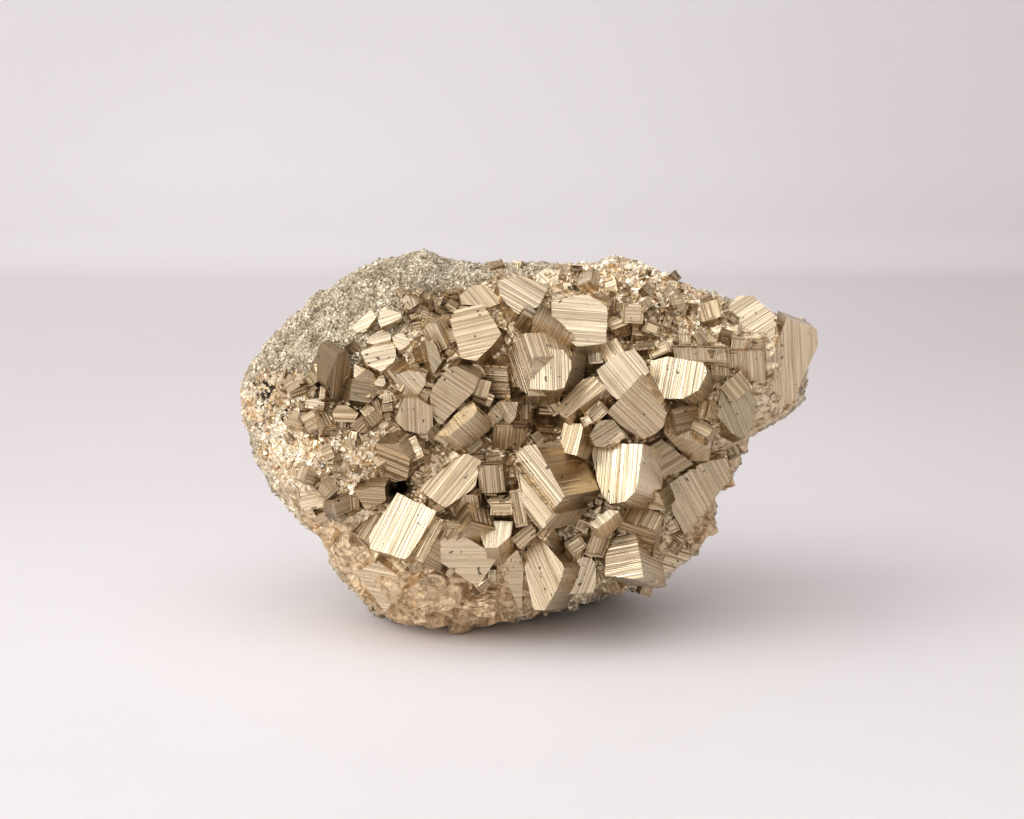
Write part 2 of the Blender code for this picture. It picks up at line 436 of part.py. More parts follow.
def crystal_frame(crystal):
    """Edges and outward way of a cube, from how its main face looks in the view."""
    stripe = Vector(crystal.stripe)
    side = Vector(crystal.side)
    lean = -stripe.dot(side)
    towards = LOOKS[crystal.looks]
    if crystal.ratio:
        ratio = crystal.ratio
    else:
        along = abs(stripe.normalized().dot(towards)) > abs(side.normalized().dot(towards))
        ratio = (stripe.length / side.length) ** SQUARENESS * (FAIR_LEAN if along else 1.0 / FAIR_LEAN)
    excess = ratio**2 * side.length_squared - stripe.length_squared
    root = math.sqrt(excess**2 + (2.0 * ratio * lean) ** 2)
    stripe_depth = math.sqrt(max(0.0, (excess + root) / 2.0))
    side_depth = math.sqrt(max(0.0, (root - excess) / 2.0)) / ratio
    if lean < 0.0:
        side_depth = -side_depth
    for sign in (1.0, -1.0):
        long = Vector((stripe.x, stripe.y, sign * stripe_depth))
        wide = Vector((side.x, side.y, sign * side_depth))
        out = long.cross(wide).normalized()
        if out.z < 0.0:
            out = -out
        if out.xy.dot(towards) > 0.0:
            break
    return long, wide, out


def crystal_matrix(crystal):
    """Place and size of a unit cube that becomes the crystal, drawn face-on."""
    long, wide, out = crystal_frame(crystal)
    height = front_height(crystal.across, crystal.up) + crystal.proud
    nearer = 1.0 - height / SIGHT_DISTANCE
    seen = Vector((crystal.across, crystal.up, 0.0))
    face = Vector((seen.x * nearer, seen.y * nearer, height))
    sight = Vector((-seen.x, -seen.y, SIGHT_DISTANCE)).normalized()
    turn = Vector((0.0, 0.0, 1.0)).rotation_difference(sight).to_matrix()
    long = turn @ long * nearer
    wide = turn @ wide * nearer
    out = turn @ out
    mean = (long.length + wide.length) / 2.0
    deep = crystal.deep or max(0.9 * mean, (crystal.proud + 1.2) / out.z)
    middle = face - out * deep / 2.0
    third = out * deep
    return Matrix((
        (long.x, wide.x, third.x, middle.x),
        (long.y, wide.y, third.y, middle.y),
        (long.z, wide.z, third.z, middle.z),
        (0.0, 0.0, 0.0, 1.0),
    ))


def crystal_rings(crystal):
    """Corners of the main face of an outlined crystal, and of its root, drawn face-on."""
    matrix = crystal_matrix(crystal)
    root = -matrix.col[2].xyz
    middle = matrix.translation - root / 2.0
    eye = Vector((0.0, 0.0, SIGHT_DISTANCE))
    ring = []
    for across, up in crystal.outline:
        sight = Vector((across, up, 0.0)) - eye
        ring.append(eye + sight * ((middle - eye).dot(root) / sight.dot(root)))
    return ring, [corner + root for corner in ring]


def grain_matrices():
    """Places of the small cubes of the granular parts."""
    noise.seed_set(GRAIN_SEED)
    found = []
    for x, y, half_width, half_height, count in GRAIN_FIELDS:
        for _ in range(count):
            across = x + (noise.random() * 2.0 - 1.0) * half_width
            up = y + (noise.random() * 2.0 - 1.0) * half_height
            edge = GRAIN_EDGE[0] + noise.random() * (GRAIN_EDGE[1] - GRAIN_EDGE[0])
            turn = noise.random_unit_vector().to_track_quat("Z", "X").to_matrix().to_4x4()
            height = front_height(across, up)
            place = Matrix.Translation((across, up, height - 0.2 * edge))
            found.append(place @ turn @ Matrix.Scale(edge, 4))
    return found


def pyrite_material():
    """Pale brassy yellow metal."""
    material = bpy.data.materials.new("pyrite")
    material.use_nodes = True
    surface = material.node_tree.nodes["Principled BSDF"]
    surface.inputs["Base Color"].default_value = (0.62, 0.52, 0.36, 1.0)
    surface.inputs["Metallic"].default_value = 1.0
    surface.inputs["Roughness"].default_value = 0.32
    return material


def new_collection(name):
    """A collection of the scene."""
    collection = bpy.data.collections.new(name)
    bpy.context.scene.collection.children.link(collection)
    return collection


def adopt(thing, collection):
    """Keep an object in one collection alone."""
    for other in thing.users_collection:
        other.objects.unlink(thing)
    collection.objects.link(thing)
    return thing


def unit_cube(name, matrix, collection, trim=(0.0, 0.0, 0.0, 0.0)):
    """A unit cube, trimmed at the ends of its stripes and carried by a matrix, kept as an operand."""
    bpy.ops.mesh.primitive_cube_add(size=1.0)
    cube = adopt(bpy.context.object, collection)
    cube.name = name
    for vertex in cube.data.vertices:
        at_side = vertex.co.y > 0.0
        if vertex.co.x < 0.0:
            vertex.co.x += trim[int(at_side)]
        else:
            vertex.co.x -= trim[2 + int(at_side)]
    cube.data.transform(matrix)
    if matrix.determinant() < 0.0:
        cube.data.flip_normals()
    cube.hide_render = True
    cube.display_type = "WIRE"
    return cube


def prism(name, ring, root, matrix, collection):
    """A closed block between two matching rings of corners, kept as an operand."""
    count = len(ring)
    sides = [(i, (i + 1) % count, count + (i + 1) % count, count + i) for i in range(count)]
    faces = [tuple(range(count)), tuple(range(2 * count - 1, count - 1, -1))]
    mesh = bpy.data.meshes.new(name)
    mesh.from_pydata([matrix @ corner for corner in ring + root], [], faces + sides)
    work = bmesh.new()
    work.from_mesh(mesh)
    bmesh.ops.recalc_face_normals(work, faces=work.faces[:])
    work.to_mesh(mesh)
    work.free()
    block = bpy.data.objects.new(name, mesh)
    collection.objects.link(block)
    block.hide_render = True
    block.display_type = "WIRE"
    return block


def keep_outer_skin(mesh):
    """Fill the pockets sealed in between the crystals, so that the specimen is solid."""
    work = bmesh.new()
    work.from_mesh(mesh)
    waiting = set(work.faces)
    skins = []
    while waiting:
        skin = [waiting.pop()]
        for face in skin:
            for edge in face.edges:
                for other in edge.link_faces:
                    if other in waiting:
                        waiting.discard(other)
                        skin.append(other)
        skins.append(skin)
    skins.sort(key=len)
    inner = [face for skin in skins[:-1] for face in skin]
    bmesh.ops.delete(work, geom=inner, context="FACES")
    bmesh.ops.triangulate(work, faces=work.faces[:])
    work.to_mesh(mesh)
    work.free()


def main():
    """Build the specimen."""
    for thing in list(bpy.data.objects):
        bpy.data.objects.remove(thing)
    specimen_parts = new_collection("pyrite_specimen")
    crystals = new_collection("crystals")
    cutters = new_collection("cutters")

    stand = Matrix.Translation((-ORIGIN_ACROSS, -ORIGIN_BACK, -REST_LEVEL))
    stand = stand @ Matrix.Rotation(math.radians(90.0) - TIP_BACK, 4, "X")
    to_metres = Matrix.Scale(MM, 4) @ stand

    bpy.ops.mesh.primitive_ico_sphere_add(subdivisions=SPHERE_DETAIL, radius=1.0)
    specimen = adopt(bpy.context.object, specimen_parts)
    specimen.name = "pyrite_specimen"
    specimen.data.name = "pyrite_specimen"
    shape_mass(specimen.data)
    specimen.data.transform(to_metres)
    specimen.data.materials.append(pyrite_material())

    fewer = specimen.modifiers.new("fewer faces", "DECIMATE")
    fewer.ratio = KEPT_FACES

    for index, crystal in enumerate(CRYSTALS + BLOCKS):
        name = f"crystal_{index:03d}"
        if crystal.outline:
            prism(name, *crystal_rings(crystal), to_metres, crystals)
        else:
            unit_cube(name, to_metres @ crystal_matrix(crystal), crystals, crystal.trim)
    for index, matrix in enumerate(grain_matrices()):
        unit_cube(f"grain_{index:03d}", to_metres @ matrix, crystals)
    grown = specimen.modifiers.new("grown together", "BOOLEAN")
    grown.operation = "UNION"
    grown.solver = "EXACT"
    grown.operand_type = "COLLECTION"
    grown.collection = crystals

    below = Matrix.Scale(MM, 4) @ Matrix.Translation((0.0, 0.0, -50.0)) @ Matrix.Scale(200.0, 4)
    ground = Matrix.Diagonal((1.0, 1.0, 0.5, 1.0))
    worn = unit_cube("worn_underside", below @ ground, cutters)
    rest = specimen.modifiers.new("worn flat to rest", "BOOLEAN")
    rest.operation = "DIFFERENCE"
    rest.solver = "EXACT"
    rest.object = worn

    built = specimen.evaluated_get(bpy.context.evaluated_depsgraph_get())
    mesh = bpy.data.meshes.new_from_object(built)
    specimen.modifiers.clear()
    specimen.data = mesh
    keep_outer_skin(mesh)


main()
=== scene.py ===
"""Looks of the pyrite specimen: striated cubes, granular druse and broken massive pyrite.

Shapes are drawn face-on in millimetres, as in the solid: across to the right, up, and out
towards the viewer. They are then tipped back to stand on the worn underside.
"""

import math
from typing import NamedTuple

import bmesh
import bpy
import numpy as np
from mathutils import Matrix, Vector, noise

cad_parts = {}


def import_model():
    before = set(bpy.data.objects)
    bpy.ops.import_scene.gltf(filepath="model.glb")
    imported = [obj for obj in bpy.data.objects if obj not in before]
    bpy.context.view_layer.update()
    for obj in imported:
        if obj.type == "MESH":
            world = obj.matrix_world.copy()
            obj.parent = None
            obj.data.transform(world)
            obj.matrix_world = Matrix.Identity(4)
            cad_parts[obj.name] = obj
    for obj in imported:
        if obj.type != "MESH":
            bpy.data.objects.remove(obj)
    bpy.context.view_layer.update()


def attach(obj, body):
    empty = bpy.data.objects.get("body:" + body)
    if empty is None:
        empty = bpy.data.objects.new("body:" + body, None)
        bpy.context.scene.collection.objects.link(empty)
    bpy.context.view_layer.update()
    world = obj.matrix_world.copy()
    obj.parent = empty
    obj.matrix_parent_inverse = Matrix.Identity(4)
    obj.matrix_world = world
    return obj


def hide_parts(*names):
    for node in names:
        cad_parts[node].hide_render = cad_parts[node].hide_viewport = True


MM = 0.001

# Driving dimensions, in millimetres
TIP_BACK = math.radians(12.0)
SIGHT_DISTANCE = 492.0
MASS_MIDDLE = Vector((0.0, -4.0))
FRONT_DEPTH = 23.0
BACK_DEPTH = 31.0
ROUNDNESS = 2.5
REST_LEVEL = -36.0
ORIGIN_ACROSS = 2.843
ORIGIN_BACK = -2.184
SWELL_FALL = 2.0  # how steeply a swelling, a hollow or a foot falls away

# Surface of the mass
ROUGH_SIZE = 7.0
ROUGH_HEIGHT = 0.9

# Silhouette of the mass, anticlockwise from the tip of the right wing
OUTLINE = (
    (52.8, 12.0), (51.2, 14.6), (45.0, 16.6), (40.5, 18.8), (35.5, 19.6), (31.5, 20.6), (27.5, 22.6),
    (23.5, 24.6), (18.0, 26.4), (13.5, 24.9), (5.0, 25.2), (-6.0, 25.2), (-10.5, 25.6), (-15.0, 27.3),
    (-20.0, 26.5), (-25.0, 24.9), (-30.0, 22.4), (-35.0, 19.2), (-39.6, 14.4), (-43.6, 10.8),
    (-46.2, 6.3), (-46.8, 0.0), (-45.9, -4.0), (-44.2, -9.0), (-41.2, -14.0), (-37.6, -17.8),
    (-32.6, -23.3), (-29.2, -28.3), (-27.6, -31.3), (-24.6, -34.3), (-17.0, -37.4), (-10.5, -37.8),
    (-4.0, -37.1), (2.5, -36.4), (6.5, -34.7), (11.0, -33.6), (15.0, -31.9), (20.0, -31.2),
    (24.5, -29.9), (28.5, -27.2), (32.0, -24.2), (34.3, -20.0), (35.6, -17.0), (35.4, -14.4),
    (38.0, -11.8), (39.6, -8.0), (41.0, -4.6), (44.6, -2.7), (48.0, -1.0), (50.0, 2.0), (51.6, 7.0),
)
RIM_EASE = 0.993
RIM_SHARE = 0.995

# Swellings and hollows of the front: across, up, radius, height
SWELLS = (
    (-37.0, 8.0, 11.0, 3.0),
    (-20.0, 24.0, 10.0, 2.5),
    (24.0, 19.5, 7.0, 5.5),
    (-33.0, -8.0, 8.0, 3.5),
    (-13.0, -31.0, 13.0, 4.0),
    (20.0, -24.0, 10.0, 2.0),
    (3.0, 1.0, 11.0, -3.5),
    (11.0, 8.5, 3.5, -6.0),
    (-19.5, -12.8, 3.0, -5.0),
    (6.0, -2.0, 3.0, -4.0),
    (19.5, 13.0, 3.0, -3.5),
    (-12.5, 18.5, 4.0, -3.5),
    (33.0, 14.5, 3.0, -3.0),
    (-17.0, -31.3, 1.8, -3.0),
)


class Crystal(NamedTuple):
    """One cube of the cluster, by its main face as seen from the front, in millimetres."""

    across: float
    up: float
    stripe: tuple  # the edge that the striations follow
    side: tuple  # the other edge
    looks: str  # the way that the face is turned
    proud: float  # how far the face stands out of the mass
    ratio: float = 0.0  # real length of the striped edge over the other, or 0 for a fair guess
    deep: float = 0.0  # depth of the crystal, or 0 for one that is rooted in the mass
    trim: tuple = (0.0, 0.0, 0.0, 0.0)  # share cut off: start and end of stripes, at each side
    outline: tuple = ()  # corners of the face as seen, for one that is far from a rectangle


SQUARENESS = 0.75
FAIR_LEAN = 1.05
FAIR_DEPTH = 0.9
ROOTED = 1.2
LOOKS = {"up": Vector((0, 1)), "down": Vector((0, -1)), "left": Vector((-1, 0)), "right": Vector((1, 0))}

CRYSTALS = (
    # Along the edge of the granular shoulder, top left
    Crystal(-25.4, 15.6, (3.4, 1.5), (-0.9, 2.4), "up", 1.5, outline=(
        (-28.0, 13.7), (-27.4, 15.2), (-24.4, 17.3), (-23.3, 15.8), (-25.4, 13.6), (-26.8, 13.2),
    )),
    Crystal(-21.2, 16.0, (3.8, 1.2), (-0.7, 2.8), "up", 2.0, outline=(
        (-23.6, 16.4), (-22.4, 17.5), (-19.6, 17.6), (-19.0, 15.8), (-22.7, 14.3),
    )),
    Crystal(-17.6, 18.6, (-0.9, 2.8), (2.3, 0.8), "left", 2.0, outline=(
        (-18.4, 20.8), (-17.0, 20.2), (-16.2, 18.4), (-17.0, 17.2), (-18.6, 17.4),
    )),
    Crystal(-13.5, 12.8, (2.2, -4.4), (2.1, 0.9), "left", 2.2, 1.6, outline=(
        (-15.7, 13.4), (-14.9, 14.8), (-13.2, 14.9), (-11.1, 10.8), (-12.0, 10.0),
    )),
    Crystal(-16.4, 14.0, (2.2, 0.4), (-0.4, 2.2), "down", 0.0),
    Crystal(-14.7, 15.9, (2.4, -1.2), (0.9, 1.6), "up", 0.0),
    Crystal(-18.8, 12.1, (2.8, -1.0), (0.9, 2.0), "up", 2.0, outline=(
        (-20.8, 12.7), (-19.0, 13.2), (-16.8, 11.9), (-19.4, 10.2), (-20.4, 11.0),
    )),
    Crystal(-23.0, 9.6, (5.6, 1.2), (-1.2, 4.6), "up", 2.8, outline=(
        (-26.3, 10.3), (-25.7, 8.2), (-22.7, 6.6), (-20.2, 8.2), (-19.8, 10.4), (-21.2, 12.2),
    )),
    Crystal(-22.9, 12.5, (4.4, 1.2), (-0.3, 1.2), "up", 2.2, outline=(
        (-25.7, 10.8), (-24.4, 13.0), (-22.3, 13.7), (-20.8, 12.9), (-21.0, 12.0),
    )),
    Crystal(-31.2, 9.3, (1.6, 0.6), (-0.5, 1.4), "up", 1.0),
    # The small cubes at the far left
    Crystal(-40.2, 5.6, (0.5, 2.4), (1.7, 0.4), "left", 0.8),
    Crystal(-37.3, 5.3, (2.6, 0.4), (-0.3, 1.7), "up", 1.0),
    Crystal(-34.5, 5.4, (1.2, -1.6), (1.8, 1.2), "right", 1.0),
    Crystal(-34.0, 1.1, (3.0, -0.4), (0.5, 1.9), "up", 1.5),
    Crystal(-32.8, 3.1, (0.3, 2.6), (1.0, 0.1), "left", 1.0),
    Crystal(-36.3, 2.6, (3.4, 1.2), (-1.0, 2.2), "down", 0.5),
    Crystal(-33.1, 7.4, (1.8, 0.9), (-0.6, 1.5), "up", 0.6),
    Crystal(-29.7, 5.8, (1.0, 8.6), (3.8, 0.3), "right", 2.0, 2.1, outline=(
        (-29.7, 10.3), (-28.4, 9.9), (-27.3, 7.6), (-27.6, 3.8), (-29.3, 1.2), (-31.5, 1.9), (-32.2, 4.2),
        (-31.2, 8.0),
    )),
    Crystal(-25.5, 4.2, (4.5, -0.8), (0.7, 4.8), "right", 2.4, outline=(
        (-27.6, 5.4), (-24.9, 7.0), (-23.5, 5.9), (-22.9, 3.0), (-24.8, 1.1), (-28.2, 1.7),
    )),
    Crystal(-26.7, 6.9, (1.6, -1.2), (1.4, 1.5), "up", 2.4, outline=(
        (-27.4, 7.9), (-24.8, 6.8), (-27.3, 5.6),
    )),
    Crystal(-27.4, 10.2, (1.9, -2.0), (1.4, 1.2), "down", 1.2),
    Crystal(-22.8, 5.2, (2.2, -0.4), (0.4, 2.2), "up", 1.8, outline=(
        (-23.9, 6.0), (-22.3, 6.3), (-21.4, 4.8), (-22.3, 3.9), (-23.7, 4.2),
    )),
    Crystal(-21.8, 2.2, (1.9, 0.4), (-0.4, 1.9), "up", 0.5),
    Crystal(-29.3, -1.0, (3.3, -0.1), (0.1, 3.1), "left", 2.0, outline=(
        (-31.2, -0.6), (-30.1, 0.8), (-27.2, 0.6), (-26.5, -0.6), (-27.3, -2.2), (-30.7, -2.1),
    )),
    Crystal(-31.4, -3.8, (3.0, 0.2), (0.9, 1.9), "down", 1.0),
    Crystal(-26.2, -2.8, (1.9, 2.0), (1.9, -1.9), "right", 1.5, outline=(
        (-28.1, -2.8), (-26.2, -1.1), (-24.3, -2.3), (-24.5, -3.8), (-25.7, -4.8),
    )),
    Crystal(-25.1, -0.1, (1.4, 1.4), (1.1, -1.2), "up", 1.0),
    Crystal(-23.4, -0.1, (0.8, -3.2), (1.4, 0.3), "left", 1.0),
    Crystal(-21.4, -1.6, (1.8, -1.0), (1.0, 1.8), "right", 0.0),
    Crystal(-20.6, -3.4, (1.6, 1.2), (1.2, -1.4), "left", 0.5),
    # The left of the field
    Crystal(-17.1, 4.9, (3.5, -3.9), (3.8, 3.2), "left", 3.2, outline=(
        (-20.4, 5.8), (-18.4, 7.0), (-14.9, 6.2), (-14.6, 5.0), (-16.4, 2.1), (-18.8, 2.6),
    )),
    Crystal(-20.6, 5.4, (2.6, -3.4), (1.1, 0.9), "left", 2.4),
    Crystal(-14.1, 8.8, (3.2, -3.9), (2.8, 2.2), "right", 2.6, outline=(
        (-16.9, 11.4), (-15.3, 12.0), (-13.5, 11.5), (-12.2, 9.6), (-12.0, 6.9), (-13.6, 6.1),
    )),
    Crystal(-17.0, -1.2, (0.2, -6.2), (6.0, 0.1), "down", 3.0, outline=(
        (-19.8, 1.9), (-16.3, 1.9), (-13.8, 0.3), (-13.7, -2.8), (-14.8, -4.3), (-18.3, -3.9),
        (-20.1, -2.0),
    )),
    Crystal(-10.3, 3.0, (5.8, -3.9), (3.9, 5.9), "down", 3.4, 0.93, outline=(
        (-14.4, 3.0), (-10.9, 7.5), (-9.2, 7.5), (-5.8, 5.4), (-6.5, 3.2), (-12.2, -2.6), (-13.8, -1.4),
    )),
    Crystal(-9.2, -1.7, (1.5, -1.8), (5.3, 5.2), "left", 3.8, 0.49, 4.6, outline=(
        (-12.6, -4.4), (-12.2, -3.4), (-7.9, 1.3), (-6.9, 1.5), (-6.0, 0.2), (-6.4, -0.9), (-11.4, -4.9),
    )),
    Crystal(-17.3, -6.9, (2.6, 1.4), (1.6, -3.4), "up", 3.4),
    Crystal(-13.6, -4.4, (2.0, -2.0), (1.4, 1.6), "right", 0.5),
    Crystal(-20.8, -8.8, (5.4, -2.1), (0.3, -4.7), "down", 3.0, outline=(
        (-23.8, -5.2), (-20.0, -6.2), (-17.6, -8.8), (-18.2, -12.2), (-22.6, -13.0),
    )),
    Crystal(-24.8, -15.2, (5.6, -0.4), (0.6, -3.6), "down", 2.4, outline=(
        (-27.8, -13.5), (-22.0, -13.3), (-21.8, -15.8), (-25.3, -17.4),
    )),
    Crystal(-28.8, -16.7, (4.2, 1.6), (1.6, -4.8), "right", 2.8, outline=(
        (-30.8, -15.4), (-27.9, -13.8), (-25.3, -17.0), (-29.4, -19.3), (-31.0, -17.6),
    )),
    Crystal(-34.8, -15.0, (4.2, 0.8), (1.0, -4.5), "left", 1.6),
    Crystal(-32.0, -18.7, (3.0, 1.4), (0.9, -2.0), "down", 1.2),
    Crystal(-19.3, -20.2, (-4.7, -9.6), (7.1, -3.3), "left", 4.2, 1.25, outline=(
        (-20.4, -14.1), (-13.1, -17.6), (-18.2, -26.0), (-25.1, -24.0), (-24.6, -22.0),
    )),
    Crystal(-24.4, -20.0, (-2.8, -4.8), (2.0, -0.6), "left", 2.4),
    Crystal(-26.0, -20.2, (-2.2, -2.6), (1.3, -0.6), "left", 2.0),
    Crystal(-14.9, -22.2, (-3.9, -7.2), (2.8, -1.4), "left", 3.2),
    Crystal(-10.6, -12.6, (6.3, 7.6), (5.0, -4.1), "left", 3.0, 1.5, outline=(
        (-15.7, -13.2), (-8.0, -7.5), (-5.3, -8.8), (-6.4, -13.2), (-10.6, -17.7), (-15.4, -14.4),
    )),
    # The middle of the top edge
    Crystal(-6.0, 19.6, (3.8, -4.4), (4.0, 3.4), "up", 2.6, outline=(
        (-9.2, 19.6), (-6.6, 21.8), (-4.6, 21.7), (-1.5, 18.6), (-3.4, 17.6), (-8.6, 18.2),
    )),
    Crystal(-6.3, 13.6, (7.5, 1.7), (1.5, -7.5), "up", 4.2, outline=(
        (-10.7, 15.7), (-9.6, 17.3), (-5.0, 18.3), (-1.6, 12.8), (-6.2, 8.5), (-8.9, 8.8),
    )),
    Crystal(1.4, 19.8, (7.2, -4.2), (2.8, 4.4), "up", 3.8, outline=(
        (-2.6, 22.3), (1.4, 23.1), (6.4, 21.3), (4.6, 17.8), (1.0, 16.5), (-1.8, 19.0),
    )),
    Crystal(-2.4, 23.9, (2.6, 0.8), (0.4, -1.6), "down", -0.3),
    Crystal(1.0, 24.6, (0.2, 2.0), (1.2, 0.2), "up", 0.0),
    Crystal(6.4, 23.1, (2.0, -1.9), (3.2, 1.8), "up", 1.5, outline=(
        (4.0, 23.5), (5.0, 24.3), (8.2, 24.0), (8.0, 22.4), (5.6, 21.6), (4.3, 22.2),
    )),
    Crystal(11.6, 15.6, (9.2, -0.7), (-0.5, -8.4), "up", 4.0, outline=(
        (6.7, 18.6), (7.5, 19.9), (13.0, 19.8), (16.1, 18.6), (16.6, 17.0), (16.2, 11.3), (11.2, 10.9),
        (6.9, 14.6),
    )),
    Crystal(6.6, 12.6, (-2.3, -4.0), (7.0, -3.6), "down", 4.4, 0.0, 4.5, outline=(
        (3.0, 12.6), (3.9, 16.0), (10.9, 12.2), (9.6, 10.2), (5.0, 11.0),
    )),
    Crystal(4.6, 15.9, (5.0, -2.8), (0.5, 1.5), "up", 3.6, 0.0, 3.6),
    Crystal(13.2, 20.8, (1.5, -1.9), (2.3, 0.9), "down", 1.2),
    Crystal(16.9, 21.4, (2.2, 0.8), (-0.6, 2.4), "up", 1.0),
    Crystal(20.9, 16.6, (3.6, -0.2), (0.3, 3.3), "up", 1.0),
    Crystal(17.4, 17.2, (-0.3, -3.6), (1.3, 0.3), "right", 1.5),
    Crystal(18.4, 13.4, (2.6, 2.0), (1.4, -1.5), "right", 0.5),
    # The centre, round the dark pocket
    Crystal(1.0, 6.4, (2.7, -8.2), (3.0, 3.2), "left", 4.6, 1.5, outline=(
        (-1.9, 8.2), (0.2, 11.3), (2.3, 13.2), (3.6, 9.2), (3.3, 2.7), (1.6, 0.9), (-1.7, 6.2),
    )),
    Crystal(6.8, 6.8, (0.2, -7.8), (6.4, -0.1), "up", 6.6, 1.28, outline=(
        (3.5, 10.6), (9.4, 10.3), (10.2, 8.2), (10.1, 4.4), (8.2, 3.1), (3.0, 3.6),
    )),
    Crystal(-3.2, 4.8, (5.2, -0.3), (0.6, -5.6), "down", 1.2),
    Crystal(-4.9, 2.0, (3.0, -1.2), (0.9, 2.0), "up", 1.6),
    Crystal(-1.1, -0.8, (1.9, -3.4), (2.4, 1.3), "left", 2.6, outline=(
        (-3.4, 0.4), (-2.2, 1.4), (0.9, 1.2), (0.6, -1.8), (-1.0, -2.8),
    )),
    Crystal(2.4, -0.4, (0.1, -3.4), (2.0, 0.2), "right", 2.2),
    Crystal(5.9, 0.3, (2.4, -0.1), (0.2, 2.2), "up", 1.0),
    Crystal(6.0, -3.4, (3.6, -0.3), (0.4, -1.8), "up", 1.0),
    Crystal(-0.4, -5.0, (-0.4, -3.6), (5.8, -0.3), "down", 1.6),
    Crystal(-7.0, -5.6, (2.4, 1.8), (1.6, -2.2), "right", 0.8),
    Crystal(-3.2, -8.4, (2.6, 0.5), (0.3, -1.2), "up", 1.8),
    Crystal(13.4, 9.0, (1.6, -3.2), (1.9, 0.8), "right", 0.0),
    Crystal(10.2, -4.7, (-1.2, -4.6), (3.5, -0.7), "left", 3.8, outline=(
        (7.9, -6.4), (9.0, -2.3), (12.4, -2.4), (11.3, -7.9), (9.2, -7.8),
    )),
    Crystal(12.2, 2.1, (6.3, 5.8), (3.2, -2.8), "up", 4.2, 1.6, outline=(
        (7.4, 0.2), (12.3, 5.2), (14.3, 5.8), (16.3, 3.8), (12.4, 0.6), (9.1, -1.7),
    )),
    Crystal(14.6, -0.6, (2.6, 2.4), (1.8, -1.8), "right", 3.4),
    Crystal(12.9, -1.9, (0.9, -1.4), (1.3, 0.6), "up", 4.8),
    Crystal(15.2, -3.9, (3.3, 2.1), (1.6, -3.0), "right", 4.0, outline=(
        (13.4, -4.2), (15.0, -2.0), (17.4, -1.6), (20.8, -5.6), (15.2, -7.0), (13.9, -6.0),
    )),
    Crystal(17.9, -4.9, (2.6, 1.6), (1.0, -1.4), "up", 3.6),
    # Right of the centre
    Crystal(19.6, 6.3, (4.4, -5.2), (4.6, 3.8), "up", 3.8, outline=(
        (14.6, 6.7), (18.4, 9.9), (21.2, 10.4), (24.1, 6.8), (18.2, 1.5), (16.3, 3.5),
    )),
    Crystal(21.8, -0.2, (5.7, -5.3), (5.2, 5.5), "down", 5.0, outline=(
        (16.3, -0.5), (22.0, 5.5), (27.0, 0.3), (26.0, -3.5), (22.0, -5.6),
    )),
    Crystal(28.9, 5.3, (-1.2, -6.6), (7.4, -0.9), "left", 4.2, outline=(
        (24.0, 8.4), (26.8, 9.2), (33.3, 8.0), (33.6, 6.4), (32.4, 3.5), (30.7, 1.9), (25.0, 1.9),
        (23.8, 5.4),
    )),
    Crystal(32.8, 9.7, (0.3, -2.8), (9.4, -0.3), "up", 2.4),
    Crystal(35.9, 8.2, (0.4, -4.4), (3.0, -0.2), "up", 2.6),
    Crystal(40.7, 7.3, (0.4, -5.6), (6.0, 0.2), "down", 2.5, 0.0, 5.0),
    Crystal(40.8, 15.9, (6.6, 4.3), (4.0, -4.8), "up", 2.2, 1.24, outline=(
        (35.4, 16.3), (39.2, 19.7), (41.6, 19.9), (46.0, 16.0), (45.2, 12.4), (38.8, 12.3), (36.6, 14.2),
    )),
    Crystal(38.9, -0.9, (2.8, -6.6), (4.4, 1.9), "right", 2.6, 1.4, outline=(
        (36.2, 3.6), (39.4, 5.4), (40.9, 4.8), (42.3, 0.6), (41.0, -4.8), (38.9, -5.4), (35.4, -0.8),
    )),
    Crystal(23.2, 11.2, (3.6, 0.5), (-0.3, 1.4), "up", 1.5),
    Crystal(25.4, 10.3, (3.4, 1.4), (-0.7, 1.8), "up", 1.5),
    Crystal(29.9, 12.3, (0.1, -2.2), (2.1, 0.1), "up", 1.0),
    Crystal(34.8, 18.0, (2.4, 2.2), (1.3, -1.3), "up", 0.6),
    Crystal(36.7, 12.1, (2.1, -0.6), (0.5, 1.8), "down", 1.0),
    Crystal(27.0, -2.3, (0.8, -4.2), (1.9, 0.3), "left", 4.0),
    Crystal(32.0, -2.8, (5.4, -2.9), (1.5, 2.0), "right", 3.6),
    Crystal(30.4, -6.1, (3.9, 2.3), (6.6, -3.6), "left", 5.2, 0.62, outline=(
        (25.5, -6.6), (26.3, -3.9), (29.5, -3.5), (35.4, -7.2), (34.0, -8.9), (28.6, -8.7),
    )),
    Crystal(26.3, -9.1, (5.2, 3.1), (2.3, -5.6), "right", 3.6, outline=(
        (23.2, -6.8), (26.0, -5.2), (31.4, -9.4), (25.2, -12.9), (24.1, -11.8),
    )),
    Crystal(36.0, -8.6, (2.5, 0.4), (0.4, -2.5), "up", 1.5),
    Crystal(38.2, -6.6, (1.4, -2.6), (2.2, 1.0), "right", 1.0),
    # The lower right
    Crystal(18.5, -11.0, (-0.8, -10.0), (7.2, 0.1), "left", 5.2, 1.22, outline=(
        (13.7, -6.6), (17.2, -5.9), (22.6, -6.0), (22.0, -11.6), (20.9, -15.9), (16.2, -16.4),
        (14.0, -10.4),
    )),
    Crystal(32.2, -14.4, (4.3, -7.8), (9.6, 5.8), "right", 4.8, 0.82, outline=(
        (25.7, -13.8), (33.2, -9.0), (37.2, -8.4), (38.0, -11.8), (36.0, -14.4), (29.9, -21.6),
    )),
    Crystal(23.4, -15.8, (5.4, -2.2), (1.5, 5.0), "down", 3.4, outline=(
        (22.3, -12.0), (25.0, -13.5), (27.1, -18.9), (20.6, -16.5), (21.0, -14.6),
    )),
    Crystal(15.7, -18.7, (1.4, -2.0), (4.4, 2.8), "left", 5.6, 0.0, 4.0, outline=(
        (13.2, -19.7), (16.8, -17.1), (18.5, -17.6), (14.4, -20.9),
    )),
